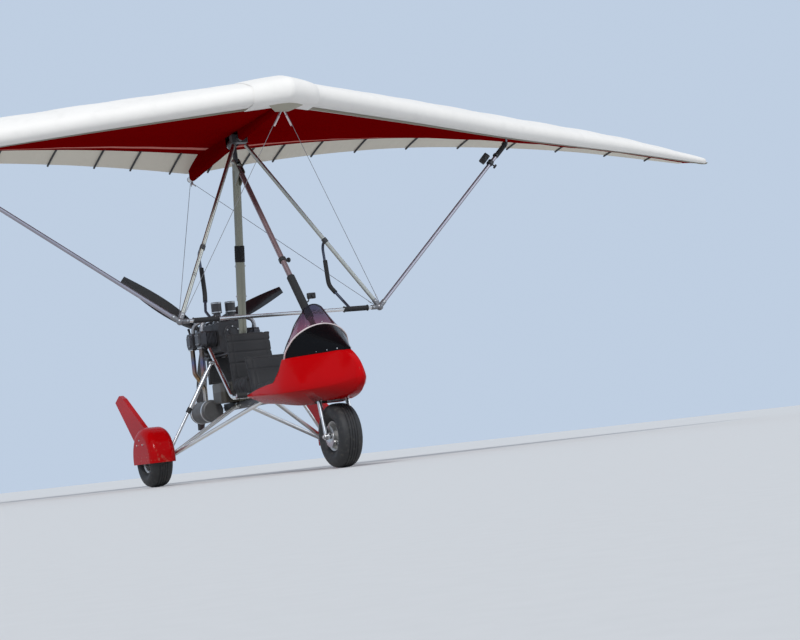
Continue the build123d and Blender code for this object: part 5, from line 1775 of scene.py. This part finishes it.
def press_channels(pad, from_channel, depth=0.007, width=0.006):
    """Presses sewn channels into a pad. A test gives how far a place is from the nearest one."""
    pad.data.update()
    moves = [v.co - v.normal * depth * exp(-(from_channel(v.co) / width) ** 2) for v in pad.data.vertices]
    for vertex, place in zip(pad.data.vertices, moves):
        vertex.co = place


def seat_pad(node, name, pan_z, spacing=0.085, side_channel=0.055):
    """A seat: its blown form with channels across the pan, up the back and along both sides."""
    pad = puffed(node, name, cap=0.011)
    low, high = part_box(node)
    inset = (high.x - low.x) / 2 - side_channel

    def from_channel(place):
        """How far a place of the seat is from the nearest channel."""
        on_back = place.z > pan_z + 0.05
        run = place.z - pan_z if on_back else place.y - low.y
        return min(abs(run % spacing - spacing / 2), abs(abs(place.x) - inset))

    press_channels(pad, from_channel)
    pick(pad)
    bpy.ops.object.shade_smooth()
    settle(pad, "trike", seat_cover)
    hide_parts(node)
    print(name, len(pad.data.polygons), "faces")


seat_pad("front_seat", "front_seat_pad", 0.695)
seat_pad("rear_seat", "rear_seat_pad", 0.772)

# %% [markdown]
# The studio has a pale floor, a broad soft sun from ahead and to starboard, and a weak fill from the other side.
# Together they light a surface about as bright as its colour is written.

# %% Floor and lamps
clear_all()
bpy.ops.mesh.primitive_plane_add(size=160, location=(0, 0, -0.0005))
floor = bpy.context.object
floor.name = "floor"
ground = Finish("floor_paint")
fleck = ground.mix(ground.noise(30.0, 4.0), (0.60, 0.61, 0.61, 1.0), (0.64, 0.65, 0.65, 1.0))
floor.data.materials.append(ground.shade(Base_Color=fleck, Roughness=0.85))
for name, lean, turn, strength, spread in (("key", 48, -38, 2.1, 14.0), ("fill", 62, 60, 0.55, 40.0)):
    clear_all()
    bpy.ops.object.light_add(type="SUN", rotation=(radians(lean), 0.0, radians(turn)))
    lamp = bpy.context.object
    lamp.name = name
    lamp.data.energy = strength
    lamp.data.angle = radians(spread)
    print(name, "lamp", strength)

# %% [markdown]
# The sky is two lights in one. The camera, gloss and clear parts see a pale blue backdrop, and everything else is
# lit by a weaker, whiter one. A Light Path node tells which kind of ray is asking.

# %% Sky
world = bpy.data.worlds.new("sky")
bpy.context.scene.world = world
world.use_nodes = True
sky = world.node_tree
sky.nodes.clear()


def sky_node(kind, *feeds, **settings):
    """Adds a node of the sky, feeds its sockets in order with values or other nodes' outputs, and sets it."""
    node = sky.nodes.new(kind)
    for key, value in settings.items():
        setattr(node, key, value)
    for socket, feed in zip(node.inputs, feeds):
        if isinstance(feed, bpy.types.NodeSocket):
            sky.links.new(feed, socket)
        else:
            socket.default_value = feed
    return node.outputs


rays = sky_node("ShaderNodeLightPath")
seen = sky_node("ShaderNodeMath", rays["Is Camera Ray"], rays["Is Glossy Ray"], operation="MAXIMUM")[0]
seen = sky_node("ShaderNodeMath", seen, rays["Is Transmission Ray"], operation="MAXIMUM")[0]
ambient = sky_node("ShaderNodeBackground", (0.82, 0.88, 1.0, 1.0), 0.55)[0]
backdrop = sky_node("ShaderNodeBackground", (0.52, 0.62, 0.76, 1.0), 1.0)[0]
sky_node("ShaderNodeOutputWorld", sky_node("ShaderNodeMixShader", seen, ambient, backdrop)[0])
bpy.context.scene.view_settings.view_transform = "Standard"
print("sky nodes", len(sky.nodes))

# %% Removing the model nut
bpy.data.objects.remove(nut)
